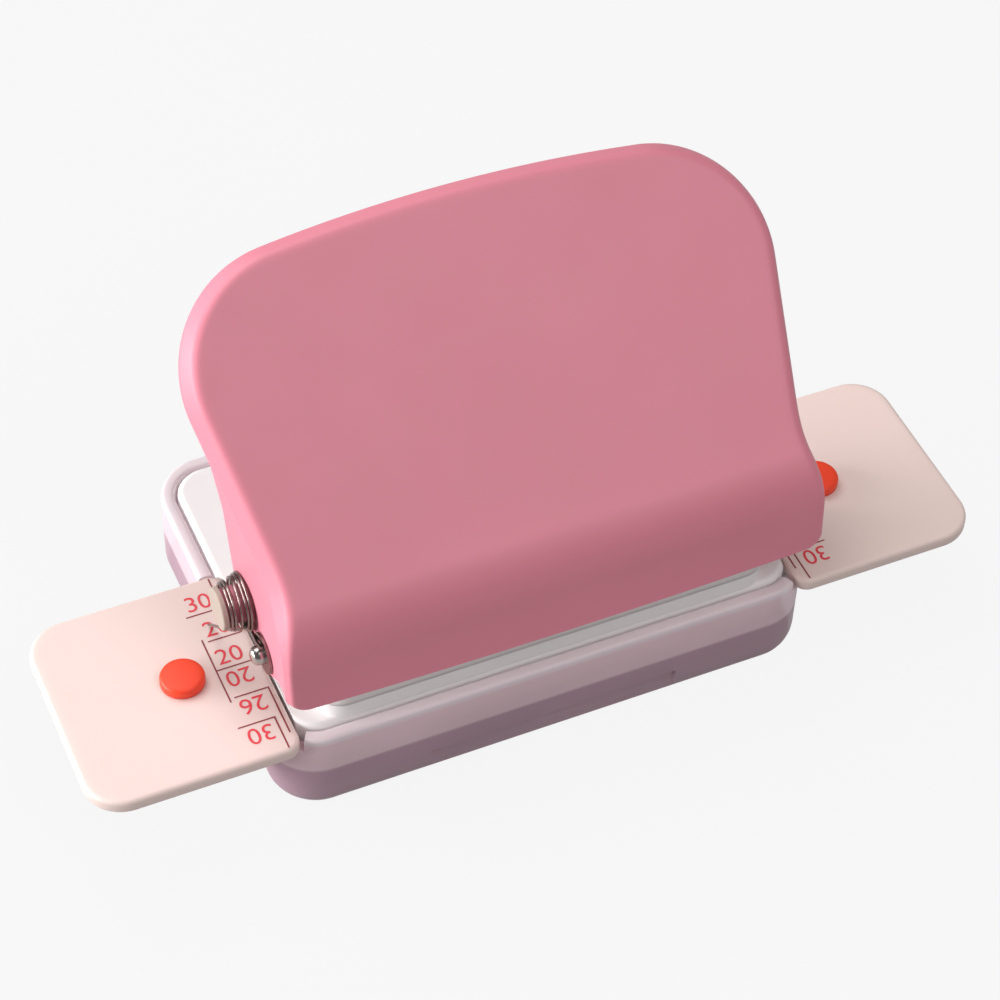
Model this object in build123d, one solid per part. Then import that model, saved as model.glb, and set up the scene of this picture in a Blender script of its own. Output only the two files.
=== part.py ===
from build123d import *
import os
from math import asin, atan2, ceil, cos, dist, hypot, pi, radians, sin, sqrt, tan

# Six-hole punch for loose-leaf paper, in millimetres, +Z up and +X along the row of punches.
# The origin is the centre of the tray's resting face. Paper goes in from the back, +Y.

# Row of punches
hole_pitch = 9.5
hole_count = 6
punch_diameter = 6.0
punch_slack = 0.05
throat_depth = 6.5
paper_slot = 2.2

# Chip tray
tray_width = 71.0
tray_depth = 49.0
tray_height = 14.1
tray_wall = 1.8
tray_floor = 1.6
tray_corner = 6.4
tray_edge = 3.8
front_to_row = 14.6
seat_tab_width = 5.4
seat_tab_inset = 16.3
seat_tab_depth = 2.0
grip_depth = 0.5
grip_height = 5.2

# Base frame
bed_height = 14.4
frame_gap = 0.3
deck_thickness = 2.0
skirt_wall = 1.6
skirt_depth = 6.2
deck_edge = 0.8
die_thickness = 2.0
die_floor = 2.0
die_gap = 0.1
die_behind = 5.2
die_ahead = 11.0
chip_margin = 0.6
arm_width = 12.0
arm_thickness = 1.6
arm_past_peg = 9.0

# Punch head
head_end = 5.85
head_behind = 5.0
head_height = 14.5
head_wall = 1.8
head_front_round = 5.0
head_corner = 3.5
head_back_round = 2.0
guide_thickness = 1.2
boss_wall = 1.3
tip_lift = 0.3
tip_grind_radius = 4.8
tip_grind_depth = 0.75
bore_roof = 1.0
punch_top_gap = 0.3

# Pins
pin_diameter = 2.5
pin_fit = 0.02
pivot_slack = 0.05
pivot_ahead = 5.8
pivot_height = 8.0
drive_height = 11.2
drive_slack = 0.1
slot_side_gap = 0.15
head_slot_gap = 0.3
pivot_end = 1.5
pin_dome = 1.0
washer_diameter = 5.2
washer_thickness = 0.3
washer_gap = 0.1
press_angle = 45.0

# Handle
apron_ahead = 15.6
apron_bottom = 8.0
apron_length = 6.62
apron_lean = 85.5
crease_radius = 10.0
low_slope = 40.5
dip_radius = 150.0
high_slope = 42.0
plate_run = 37.9
plate_thickness = 2.2
rim_depth = 3.6
rim_wall = 1.8
rim_round = 1.5
edge_tolerance = 0.005
cheek_gap = 2.7
waist_round = 30.0
flare_out = 3.0
flare_corner = 15.0
flare_slope = 8.3
top_bow_angle = 6.5
cheek_behind = 4.3
pivot_lobe = 3.2
drive_lobe = 2.75

# Springs and their caps
wire_diameter = 0.4
coil_turns = 3
coil_pitch = 0.65
coil_slack = 0.6
coil_start_gap = 0.28
hub_diameter = 4.6
leg_rest_gap = 0.05
leg_angle = 315.0
hook_overrun = 1.4
cap_diameter = 5.4
cap_thickness = 0.7
cap_gap = 0.12
cap_roof = 0.35

# Gauge wings and pegs
wing_width = 25.8
wing_depth = 29.2
wing_thickness = 2.0
wing_overlap = 2.7
wing_outer_corner = 5.0
wing_inner_corner = 2.0
wing_edge = 0.5
wing_gap = 0.3
peg_shank_gap = 0.3
peg_diameter = 5.5
peg_height = 1.5
peg_edge = 0.5
peg_shank = 3.0

# Screws
screw_diameter = 2.2
screw_head = 3.6
screw_head_height = 1.3
screw_recess = 0.5
screw_recess_depth = 0.7
screw_boss = 5.0
head_screw_x = (10.0, 24.0)
head_screw_ahead = 8.8
head_screw_bite = 6.0
wing_screw_gap = 0.45
wing_screw_past_peg = 5.5
wing_screw_bite = 1.4

# Places worked out from the sizes above
row_y = front_to_row - tray_depth / 2
bed = bed_height
bed_under = bed - deck_thickness
row_x = [(i - (hole_count - 1) / 2) * hole_pitch for i in range(hole_count)]
head_length = row_x[-1] - row_x[0] + 2 * head_end
waist_width = head_length + 2 * (cheek_gap + rim_wall)
flare_width = waist_width + 2 * flare_out
wing_inner = tray_width / 2 - wing_overlap
wing_under = bed - wing_thickness
arm_under = wing_under - arm_thickness
frame_width = tray_width - 2 * (tray_wall + frame_gap)
frame_depth = tray_depth - 2 * (tray_wall + frame_gap)
frame_corner = tray_corner - tray_wall - frame_gap
skirt_foot = bed - skirt_depth
die_under = bed - die_thickness
slot_roof = bed + paper_slot
guide_top = slot_roof + guide_thickness
head_top = bed + head_height
bore_top = head_top - bore_roof
pin_radius = pin_diameter / 2
punch_radius = punch_diameter / 2
cheek_outer = waist_width / 2
cheek_inner = cheek_outer - rim_wall
washer_face = cheek_outer + washer_gap + washer_thickness
pivot = (row_y - pivot_ahead, bed + pivot_height)
drive = (row_y, bed + drive_height)
far = tray_width + wing_width

# The pegs stand on the first hole pitch that leaves room for a screw beside the tray.
inner_screw_x = tray_width / 2 + wing_screw_gap + screw_head / 2
peg_room = inner_screw_x + screw_head / 2 + peg_shank_gap + peg_shank / 2
peg_x = row_x[-1] + ceil((peg_room - row_x[-1]) / hole_pitch) * hole_pitch
wing_screw_x = (inner_screw_x, peg_x + wing_screw_past_peg)


# The drive pin swings on an arc about the pivot. The punches follow its fall.
arm_radius = dist(pivot, drive)
arm_rest = atan2(drive[1] - pivot[1], drive[0] - pivot[0])
arm_pressed = arm_rest - radians(press_angle)
punch_stroke = arm_radius * (sin(arm_rest) - sin(arm_pressed))
if arm_pressed < 0:
    drive_sway = arm_radius * (1 - cos(arm_rest))
else:
    drive_sway = arm_radius * (cos(arm_pressed) - cos(arm_rest))


def block(x0, x1, y0, y1, z0, z1):
    """Box between two corners."""
    return Pos((x0 + x1) / 2, (y0 + y1) / 2, (z0 + z1) / 2) * Box(x1 - x0, y1 - y0, z1 - z0)


def rod_x(radius, x0, x1, place):
    """Round bar along X, place is its (Y, Z)."""
    bar = Cylinder(radius, x1 - x0, align=(Align.CENTER, Align.CENTER, Align.MIN))
    return Pos(x0, place[0], place[1]) * Rot(0, 90, 0) * bar


def rod_z(radius, z0, z1, x, y):
    """Round bar along Z."""
    return Pos(x, y, z0) * Cylinder(radius, z1 - z0, align=(Align.CENTER, Align.CENTER, Align.MIN))


def slab(width, depth, corner, z0, z1):
    """Plate with rounded corners, centred on the Z axis."""
    return extrude(Pos(0, 0, z0) * RectangleRounded(width, depth, corner), z1 - z0)


def side_solid(edges, half_width):
    """Solid from a closed outline in the YZ plane, carried to both sides of X = 0."""
    outline = Plane.YZ * make_face(Wire(edges))
    return extrude(outline, half_width, both=True)


def step(point, direction, length):
    """Point in YZ that lies a length away in a direction given in degrees."""
    return (point[0] + length * cos(radians(direction)), point[1] + length * sin(radians(direction)))


def both_sides(piece):
    """A piece and its mirror image on the other side of X = 0."""
    return piece + piece.mirror(Plane.YZ)


def screw(x, y, z_head, z_tip):
    """Pan-head screw that points up, with a cross recess in its head."""
    z_seat = z_head + screw_head_height
    body = rod_z(screw_head / 2, z_head, z_seat, x, y) + rod_z(screw_diameter / 2, z_seat, z_tip, x, y)
    arm = screw_head / 2 - screw_recess
    for half_x, half_y in ((arm, screw_recess / 2), (screw_recess / 2, arm)):
        recess_top = z_head + screw_recess_depth
        body -= block(x - half_x, x + half_x, y - half_y, y + half_y, z_head - screw_recess, recess_top)
    return body


# Chip tray: a cup with a rounded foot, notched under the wings and under the frame's arms
def make_chip_tray():
    cup = slab(tray_width, tray_depth, tray_corner, 0, tray_height)
    cup = fillet(cup.faces().sort_by(Axis.Z)[0].edges(), tray_edge)
    room = slab(
        tray_width - 2 * tray_wall,
        tray_depth - 2 * tray_wall,
        tray_corner - tray_wall,
        tray_floor,
        tray_height + tray_wall,
    )
    cup -= fillet(room.faces().sort_by(Axis.Z)[0].edges(), tray_edge - tray_wall)
    wing_back = row_y + wing_depth / 2 + wing_gap
    arm_half = arm_width / 2 + wing_gap
    inner = wing_inner - wing_gap
    cup -= both_sides(block(inner, far, -far, wing_back, wing_under - wing_gap, bed))
    cup -= both_sides(block(inner, far, row_y - arm_half, row_y + arm_half, arm_under - wing_gap, bed))
    wall_y = tray_depth / 2 - tray_wall
    for x in (-1, 1):
        for y in (-1, 1):
            tab_x = x * (seat_tab_inset + seat_tab_width / 2)
            tab_y = y * (wall_y + (tray_wall - seat_tab_depth) / 2 - grip_depth / 2)
            half_y = (seat_tab_depth + tray_wall - grip_depth) / 2
            cup += block(
                tab_x - seat_tab_width / 2,
                tab_x + seat_tab_width / 2,
                tab_y - half_y,
                tab_y + half_y,
                tray_edge,
                skirt_foot,
            )
    front = -tray_depth / 2
    cup -= block(-seat_tab_inset, seat_tab_inset, front - grip_depth, front + grip_depth, 0, grip_height)
    return cup


# Base frame: deck, skirt, die pocket and an arm under each wing
def make_base_frame():
    frame = slab(frame_width, frame_depth, frame_corner, skirt_foot, bed)
    frame = fillet(frame.faces().sort_by(Axis.Z)[-1].edges(), deck_edge)
    frame -= slab(
        frame_width - 2 * skirt_wall,
        frame_depth - 2 * skirt_wall,
        frame_corner - skirt_wall,
        skirt_foot - skirt_wall,
        bed_under,
    )
    die_half = head_length / 2 - head_wall / 2
    floor_half = die_half + skirt_wall
    floor_front = -frame_depth / 2 + skirt_wall / 2
    floor_back = row_y + die_behind + skirt_wall
    frame += block(-floor_half, floor_half, floor_front, floor_back, die_under - die_floor, bed_under)
    frame -= block(
        -die_half - die_gap,
        die_half + die_gap,
        row_y - die_ahead - die_gap,
        row_y + die_behind + die_gap,
        die_under,
        bed + die_gap,
    )
    chip_half = punch_radius + chip_margin
    frame -= block(
        row_x[0] - chip_half,
        row_x[-1] + chip_half,
        row_y - chip_half,
        row_y + chip_half,
        skirt_foot,
        bed,
    )
    wing_back = row_y + wing_depth / 2 + wing_gap
    notch = block(wing_inner - wing_gap, far, -far, wing_back, wing_under, bed + die_gap)
    inner_edges = notch.edges().filter_by(Axis.Z).group_by(Axis.X)[0].sort_by(Axis.Y)
    frame -= both_sides(fillet(inner_edges[-1], wing_inner_corner + wing_gap))
    arm_half = arm_width / 2
    arm_root = frame_width / 2 - skirt_wall
    arm_tip = peg_x + arm_past_peg
    arm = block(arm_root, arm_tip, row_y - arm_half, row_y + arm_half, arm_under, wing_under)
    for x in wing_screw_x:
        arm -= rod_z(screw_diameter / 2 + pin_fit, arm_under, wing_under, x, row_y)
    arm -= rod_z(peg_shank / 2 + pin_fit, arm_under, wing_under, peg_x, row_y)
    frame += both_sides(arm)
    return drill_head_screws(frame, skirt_foot, bed)


def drill_head_screws(piece, z0, z1):
    """Cuts the clearance holes of the four head screws."""
    for x in head_screw_x:
        for side in (-1, 1):
            piece -= rod_z(screw_diameter / 2 + pin_fit, z0, z1, side * x, row_y - head_screw_ahead)
    return piece


def drill_row(piece, z0, z1):
    """Cuts the row of holes that the punches run in."""
    for x in row_x:
        piece -= rod_z(punch_radius + punch_slack, z0, z1, x, row_y)
    return piece


# Die plate: steel strip flush with the bed
def make_die_plate():
    die_half = head_length / 2 - head_wall / 2
    plate = block(-die_half, die_half, row_y - die_ahead, row_y + die_behind, die_under, bed)
    plate = drill_row(plate, die_under, bed)
    return drill_head_screws(plate, die_under, bed)


# Paper stop: spacer between deck and head that the sheet's edge meets
def make_paper_stop():
    half = head_length / 2
    front = -frame_depth / 2
    stop = block(-half, half, front, row_y - throat_depth, bed, slot_roof)
    front_edges = stop.edges().filter_by(Axis.Z).group_by(Axis.Y)[0]
    stop = fillet(front_edges, head_corner)
    return drill_head_screws(stop, bed, slot_roof)


# Punch guide: steel strip above the paper slot
def make_punch_guide():
    half = head_length / 2 - head_wall - die_gap
    front = -frame_depth / 2 + head_wall + die_gap
    back = row_y + head_behind - head_wall - die_gap
    strip = block(-half, half, front, back, slot_roof, guide_top)
    strip = drill_row(strip, slot_roof, guide_top)
    return drill_head_screws(strip, slot_roof, guide_top)


# Punch head: moulded shell with a boss round each punch, each screw and the pivot pin
def make_head_housing():
    half = head_length / 2
    front = -frame_depth / 2
    back = row_y + head_behind
    shell = block(-half, half, front, back, slot_roof, head_top)
    front_edges = shell.edges().filter_by(Axis.Z).group_by(Axis.Y)[0]
    shell = fillet(front_edges, head_corner)
    top_edges = shell.faces().sort_by(Axis.Z)[-1].edges().filter_by(Axis.X).sort_by(Axis.Y)
    shell = fillet(top_edges[0], head_front_round)
    top_edges = shell.edges().filter_by(Axis.X).group_by(Axis.Z)[-1].sort_by(Axis.Y)
    shell = fillet(top_edges[-1], head_back_round)
    room = block(
        -half + head_wall,
        half - head_wall,
        front + head_wall,
        back - head_wall,
        slot_roof,
        head_top - head_wall,
    )
    room_edges = room.edges().filter_by(Axis.X).group_by(Axis.Z)[-1].sort_by(Axis.Y)
    room = fillet(room_edges[0], head_front_round - head_wall)
    bosses = rod_x(pin_radius + boss_wall, -half, half, pivot)
    for x in row_x:
        bosses += rod_z(punch_radius + boss_wall, guide_top, head_top, x, row_y)
    for x in head_screw_x:
        for side in (-1, 1):
            bosses += rod_z(screw_boss / 2, guide_top, head_top, side * x, row_y - head_screw_ahead)
    outer = shell
    shell = (shell - room) + (bosses & outer)
    for x in row_x:
        shell -= rod_z(punch_radius + punch_slack, guide_top, bore_top, x, row_y)
    for x in head_screw_x:
        for side in (-1, 1):
            shell -= rod_z(
                screw_diameter / 2,
                guide_top,
                guide_top + head_screw_bite,
                side * x,
                row_y - head_screw_ahead,
            )
    shell -= block(
        -half,
        half,
        row_y - pin_radius - head_slot_gap,
        row_y + drive_sway + pin_radius + head_slot_gap,
        drive[1] - punch_stroke - pin_radius - head_slot_gap,
        drive[1] + pin_radius + head_slot_gap,
    )
    return shell - rod_x(pin_radius + pin_fit, -half, half, pivot)


# Pivot pin with domed ends, and the washers that keep the handle on it
def make_pivot_pin():
    end = washer_face + pivot_end
    pin = rod_x(pin_radius, -end, end, pivot)
    return fillet(pin.edges(), pin_dome)


def make_pivot_washer():
    disc = rod_x(washer_diameter / 2, cheek_outer + washer_gap, washer_face, pivot)
    return disc - rod_x(pin_radius + pin_fit, 0, far, pivot)


# Punch: hollow-ground rod with a cross slot for the drive pin
def make_punch(x):
    tip = slot_roof + tip_lift
    rod = rod_z(punch_radius, tip, bore_top - punch_top_gap, x, row_y)
    rod -= block(
        x - punch_diameter,
        x + punch_diameter,
        row_y - pin_radius - slot_side_gap,
        row_y + drive_sway + pin_radius + slot_side_gap,
        drive[1] - pin_radius - drive_slack,
        drive[1] + pin_radius + drive_slack,
    )
    grind = (row_y, tip + tip_grind_depth - tip_grind_radius)
    return rod - rod_x(tip_grind_radius, x - punch_diameter, x + punch_diameter, grind)


# Drive pin: through the cheeks, the head's slot and the punches, its ends inside the caps
hub_end = washer_face + coil_start_gap + coil_pitch * coil_turns + wire_diameter
cap_face = hub_end + cap_gap


def make_drive_pin():
    end = cap_face + cap_thickness - cap_roof
    return rod_x(pin_radius, -end, end, drive)


def make_spring_cap():
    cap = rod_x(cap_diameter / 2, cap_face, cap_face + cap_thickness, drive)
    rim = cap.edges().sort_by(Axis.X)[-1]
    cap = fillet(rim, cap_thickness / 3)
    return cap - rod_x(pin_radius + pin_fit, 0, cap_face + cap_thickness - cap_roof, drive)


def inward(slope):
    """Unit normal in YZ that points into the handle from a surface with this slope."""
    return (sin(radians(slope)), -cos(radians(slope)))


def offset_point(point, normal, length):
    return (point[0] + normal[0] * length, point[1] + normal[1] * length)


# Handle profile: apron, convex crease, shallow dip and straight plate, each tangent to the next
apron_foot = (row_y - apron_ahead, bed + apron_bottom)
apron_head = step(apron_foot, apron_lean, apron_length)
crease_centre = offset_point(apron_head, inward(apron_lean), crease_radius)
crease_end = offset_point(crease_centre, inward(low_slope), -crease_radius)
dip_centre = offset_point(crease_end, inward(low_slope), -dip_radius)
dip_end = offset_point(dip_centre, inward(high_slope), dip_radius)
plate_end = step(dip_end, high_slope, plate_run + flare_corner)


def profile_edges(inset, foot_drop):
    """Edges of the handle's front face in YZ, moved into the handle by inset."""
    foot = offset_point(step(apron_foot, apron_lean, -foot_drop), inward(apron_lean), inset)
    head = offset_point(apron_head, inward(apron_lean), inset)
    crease_mid = offset_point(crease_centre, inward((apron_lean + low_slope) / 2), inset - crease_radius)
    crease = offset_point(crease_end, inward(low_slope), inset)
    dip_mid = offset_point(dip_centre, inward((low_slope + high_slope) / 2), dip_radius + inset)
    dip = offset_point(dip_end, inward(high_slope), inset)
    end = offset_point(plate_end, inward(high_slope), inset)
    edges = [
        Edge.make_line(foot, head),
        Edge.make_three_point_arc(head, crease_mid, crease),
        Edge.make_three_point_arc(crease, dip_mid, dip),
        Edge.make_line(dip, end),
    ]
    return edges, foot, end


def outline_face(inset):
    """Front outline of the handle in the plane of its plate, made smaller by inset."""
    bow = radians(90 - top_bow_angle)
    slope = radians(flare_slope)
    waist = waist_width / 2
    corner_x = flare_width / 2 - flare_corner
    top_radius = corner_x / cos(bow) + flare_corner
    corner_v = plate_run - flare_corner * sin(bow) - top_radius * (1 - sin(bow))
    taper = corner_x + flare_corner * cos(slope) - waist - waist_round * (1 - cos(slope))
    waist_v = corner_v - (flare_corner + waist_round) * sin(slope) - taper / tan(slope)

    def polar(centre_x, centre_v, radius, angle):
        return (centre_x + radius * cos(angle), centre_v + radius * sin(angle))

    right = [
        polar(0, plate_run - top_radius, top_radius - inset, bow),
        polar(corner_x, corner_v, flare_corner - inset, (bow - slope) / 2),
        polar(corner_x, corner_v, flare_corner - inset, -slope),
        polar(waist + waist_round, waist_v, waist_round + inset, pi - slope),
        polar(waist + waist_round, waist_v, waist_round + inset, pi - slope / 2),
        polar(waist + waist_round, waist_v, waist_round + inset, pi),
        (waist - inset, -far),
    ]
    left = [(-x, v) for x, v in right]
    edges = [Edge.make_three_point_arc(left[0], (0, plate_run - inset), right[0])]
    for half in (right, left):
        edges.append(Edge.make_three_point_arc(half[0], half[1], half[2]))
        edges.append(Edge.make_line(half[2], half[3]))
        edges.append(Edge.make_three_point_arc(half[3], half[4], half[5]))
        edges.append(Edge.make_line(half[5], half[6]))
    edges.append(Edge.make_line(right[6], left[6]))
    return make_face(Wire(edges))


plate_plane = Plane(
    origin=(0, dip_end[0], dip_end[1]),
    x_dir=(1, 0, 0),
    z_dir=(0, -sin(radians(high_slope)), cos(radians(high_slope))),
)


def make_handle_shell():
    """Shell with apron, plate, rolled rim and cheeks, and a spring hub on each cheek."""
    outer, foot, end = profile_edges(0, 0)
    rim_end = offset_point(end, inward(high_slope), rim_depth)
    rim_run = (rim_end[0] - row_y - cheek_behind) / cos(radians(high_slope))
    cheek_top = step(rim_end, high_slope, -rim_run)
    lobe = offset_point(drive, inward(press_angle), drive_lobe)
    lobe_front = step(lobe, press_angle, -(pivot_ahead + drive_lobe) / 2)
    lobe_run = (row_y + cheek_behind - lobe[0]) / cos(radians(press_angle))
    corners = [
        end,
        rim_end,
        cheek_top,
        step(lobe, press_angle, lobe_run),
        lobe_front,
        (pivot[0] + pivot_lobe, pivot[1] - pivot_lobe),
        (pivot[0], pivot[1] - pivot_lobe),
        foot,
    ]
    closing = [Edge.make_line(a, b) for a, b in zip(corners, corners[1:])]
    solid = side_solid(outer + closing, far)
    solid &= extrude(plate_plane * outline_face(0), far, both=True)

    def on_front_rim(edge):
        place = edge @ 0.5
        above = (place.Y - dip_end[0]) * -sin(radians(high_slope))
        above += (place.Z - dip_end[1]) * cos(radians(high_slope))
        across = abs(edge.bounding_box().size.X) > waist_width / 2
        on_plate = abs(above) < edge_tolerance
        return on_plate and (not across or place.Z > dip_end[1] + flare_corner)

    solid = fillet(solid.edges().filter_by(on_front_rim), rim_round)
    inner, low, high = profile_edges(plate_thickness, far)
    behind = offset_point(high, inward(high_slope), far)
    below = (behind[0], low[1])
    closing = [
        Edge.make_line(high, behind),
        Edge.make_line(behind, below),
        Edge.make_line(below, low),
    ]
    room = side_solid(inner + closing, far)
    room &= extrude(plate_plane * outline_face(rim_wall), 2 * far, both=True)
    solid -= room
    for x0, x1 in ((-hub_end, -cheek_inner), (cheek_inner, hub_end)):
        solid += rod_x(hub_diameter / 2, x0, x1, drive)
    solid -= rod_x(pin_radius + pin_fit, -far, far, drive)
    return solid - rod_x(pin_radius + pivot_slack, -far, far, pivot)


# Torsion spring: a hook over the pivot pin, a coil on the hub and a leg down to the wing
coil_radius = hub_diameter / 2 + coil_slack + wire_diameter / 2
hook_reach = pin_radius + wire_diameter / 2 + pivot_slack
hook_turn = asin((coil_radius + hook_reach) / arm_radius)
coil_first = arm_rest + pi - hook_turn + pi / 2
coil_last = radians(leg_angle - 90 + 360 * coil_turns)
coil_x0 = washer_face + coil_start_gap + wire_diameter / 2
coil_rise = coil_pitch / (2 * pi)


def coil_point(angle):
    """Point on the coil's helix."""
    x = coil_x0 + coil_rise * (angle - coil_first)
    return (x, drive[0] + coil_radius * cos(angle), drive[1] + coil_radius * sin(angle))


def coil_tangent(angle):
    """Unit direction of the wire on the coil's helix."""
    length = hypot(coil_radius, coil_rise)
    return (coil_rise / length, -coil_radius * sin(angle) / length, coil_radius * cos(angle) / length)


def move(point, direction, length):
    return tuple(p + d * length for p, d in zip(point, direction))


def dot(a, b):
    return sum(p * q for p, q in zip(a, b))


def biarc(p0, t0, p1, t1):
    """Two arcs from p0 to p1 that are tangent to t0, to each other and to t1."""
    chord = tuple(b - a for a, b in zip(p0, p1))
    along = dot(chord, tuple(a + b for a, b in zip(t0, t1)))
    spread = 2 * (1 - dot(t0, t1))
    reach = (sqrt(along**2 + spread * dot(chord, chord)) - along) / spread
    near = move(p0, t0, reach)
    ahead = move(p1, t1, -reach)
    middle = tuple((a + b) / 2 for a, b in zip(near, ahead))
    heading = tuple(b - a for a, b in zip(near, ahead))
    return [Edge.make_tangent_arc(p0, t0, middle), Edge.make_tangent_arc(middle, heading, p1)]


def spring_ends():
    """Ends of the hook and of the leg."""
    hook_length = sqrt(arm_radius**2 - (coil_radius + hook_reach) ** 2) + hook_overrun
    hook = move(coil_point(coil_first), coil_tangent(coil_first), -hook_length)
    start = coil_point(coil_last)
    heading = coil_tangent(coil_last)
    leg_length = (bed + wire_diameter / 2 + leg_rest_gap - start[2]) / heading[2]
    return hook, move(start, heading, leg_length)


def make_spring():
    """Wire swept along the hook, the coil's quarter turns and the leg."""
    hook, leg = spring_ends()
    spans = round((coil_last - coil_first) / (pi / 2))
    angles = [coil_first + (coil_last - coil_first) * i / spans for i in range(spans + 1)]
    edges = [Edge.make_line(hook, coil_point(angles[0]))]
    for a, b in zip(angles, angles[1:]):
        edges += biarc(coil_point(a), coil_tangent(a), coil_point(b), coil_tangent(b))
    edges.append(Edge.make_line(coil_point(angles[-1]), leg))
    path = Wire(edges)
    section = Plane(origin=hook, z_dir=coil_tangent(angles[0])) * Circle(wire_diameter / 2)
    return sweep(section, path)


def least_gap():
    """Least gap between stretches of the wire that are over half a turn apart."""
    hook, leg = spring_ends()
    start = coil_point(coil_first)
    end = coil_point(coil_last)
    spacing = wire_diameter / 4
    count = ceil((coil_last - coil_first) * coil_radius / spacing)
    coil = [coil_point(coil_first + (coil_last - coil_first) * i / count) for i in range(count + 1)]
    head_count = int(dist(hook, start) / spacing)
    head = [move(hook, coil_tangent(coil_first), i * spacing) for i in range(head_count)]
    tail_count = int(dist(leg, end) / spacing)
    tail = [move(leg, coil_tangent(coil_last), -i * spacing) for i in range(tail_count)]
    points = head + coil + tail[::-1]
    travel = [0.0]
    for a, b in zip(points, points[1:]):
        travel.append(travel[-1] + dist(a, b))
    gaps = []
    for i, a in enumerate(points):
        for j in range(i + 1, len(points)):
            if travel[j] - travel[i] > pi * coil_radius:
                gaps.append(dist(a, points[j]))
    return min(gaps) - wire_diameter


# Gauge wing: flat plate with rounded corners that lies on the frame's arm
def make_wing():
    outer_x = wing_inner + wing_width
    plate = block(wing_inner, outer_x, row_y - wing_depth / 2, row_y + wing_depth / 2, wing_under, bed)
    uprights = plate.edges().filter_by(Axis.Z).group_by(Axis.X)
    plate = fillet(uprights[-1], wing_outer_corner)
    uprights = plate.edges().filter_by(Axis.Z).group_by(Axis.X)
    plate = fillet(uprights[0], wing_inner_corner)
    plate = fillet(plate.faces().sort_by(Axis.Z)[-1].edges(), wing_edge)
    plate -= rod_z(peg_shank / 2 + pin_fit, wing_under, bed, peg_x, row_y)
    for x in wing_screw_x:
        plate -= rod_z(screw_diameter / 2, wing_under, wing_under + wing_screw_bite, x, row_y)
    return plate


# Index peg: a round stud whose shank goes through the wing and the arm
def make_peg():
    stud = rod_z(peg_diameter / 2, bed, bed + peg_height, peg_x, row_y)
    stud = fillet(stud.edges().sort_by(Axis.Z)[-1], peg_edge)
    return stud + rod_z(peg_shank / 2, arm_under, bed, peg_x, row_y)


def turned(piece):
    """The same piece on the other side, turned half a turn about the row's middle."""
    return Pos(0, row_y, 0) * Rot(0, 0, 180) * Pos(0, -row_y, 0) * piece


def make_head_screws():
    screws = []
    for x in head_screw_x:
        for side in (-1, 1):
            seat = die_under - die_floor - screw_head_height
            tip = guide_top + head_screw_bite - die_gap
            screws.append(screw(side * x, row_y - head_screw_ahead, seat, tip))
    return Compound(children=screws)


def make_wing_screws():
    screws = []
    for side in (-1, 1):
        for x in wing_screw_x:
            seat = arm_under - screw_head_height
            tip = wing_under + wing_screw_bite - die_gap
            screws.append(screw(side * x, row_y, seat, tip))
    return Compound(children=screws)


wing = make_wing()
peg = make_peg()
spring = make_spring()
cap = make_spring_cap()
washer = make_pivot_washer()

pieces = {
    "chip_tray": make_chip_tray(),
    "base_frame": make_base_frame(),
    "die_plate": make_die_plate(),
    "paper_stop": make_paper_stop(),
    "punch_guide": make_punch_guide(),
    "head_housing": make_head_housing(),
    "head_screws": make_head_screws(),
    "pivot_pin": make_pivot_pin(),
    "left_pivot_washer": washer.mirror(Plane.YZ),
    "right_pivot_washer": washer,
    "handle_shell": make_handle_shell(),
    "drive_pin": make_drive_pin(),
    "left_spring": spring.mirror(Plane.YZ),
    "right_spring": spring,
    "left_spring_cap": cap.mirror(Plane.YZ),
    "right_spring_cap": cap,
    "left_wing": turned(wing),
    "right_wing": wing,
    "left_peg": turned(peg),
    "right_peg": peg,
    "wing_screws": make_wing_screws(),
}
for number, x in enumerate(row_x, start=1):
    pieces[f"punch_{number}"] = make_punch(x)

os.makedirs("parts", exist_ok=True)
for name, piece in pieces.items():
    export_step(piece, f"parts/{name}.step")

print("punch stroke", round(punch_stroke, 3), "drive pin sway", round(drive_sway, 3))
print("pivot", pivot, "drive", drive)
print("spring's least gap to itself", round(least_gap(), 3))
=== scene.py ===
import math

import bmesh
import bpy
import numpy as np
from bpy.props import FloatProperty, FloatVectorProperty, IntProperty, PointerProperty
from mathutils import Matrix, Vector


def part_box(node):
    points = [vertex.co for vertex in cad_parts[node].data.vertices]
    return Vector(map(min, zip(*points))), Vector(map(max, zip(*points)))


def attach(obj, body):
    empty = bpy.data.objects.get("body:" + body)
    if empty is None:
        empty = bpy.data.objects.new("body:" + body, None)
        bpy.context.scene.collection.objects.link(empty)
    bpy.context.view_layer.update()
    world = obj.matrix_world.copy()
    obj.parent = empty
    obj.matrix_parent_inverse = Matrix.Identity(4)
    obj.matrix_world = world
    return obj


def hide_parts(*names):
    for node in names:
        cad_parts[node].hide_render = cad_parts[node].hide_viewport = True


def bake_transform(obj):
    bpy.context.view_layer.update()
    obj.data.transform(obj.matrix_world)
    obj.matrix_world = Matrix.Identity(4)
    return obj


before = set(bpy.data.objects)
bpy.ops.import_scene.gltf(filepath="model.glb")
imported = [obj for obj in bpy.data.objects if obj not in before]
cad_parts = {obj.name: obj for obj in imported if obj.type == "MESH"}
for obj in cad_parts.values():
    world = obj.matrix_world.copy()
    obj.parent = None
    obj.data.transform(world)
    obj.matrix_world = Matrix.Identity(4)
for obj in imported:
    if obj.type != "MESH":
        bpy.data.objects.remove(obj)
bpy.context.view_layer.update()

bl_info = {
    "name": "Loose-leaf hole punch",
    "version": (1, 0, 0),
    "blender": (4, 5, 0),
    "location": "View3D > Sidebar > Hole punch",
    "description": "Dresses the packed hole punch: handle, tray, wings, springs, print, finishes and stage",
    "category": "Object",
}

# Shapes are worked out in millimetres and written to meshes in metres.
MM = 0.001


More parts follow.
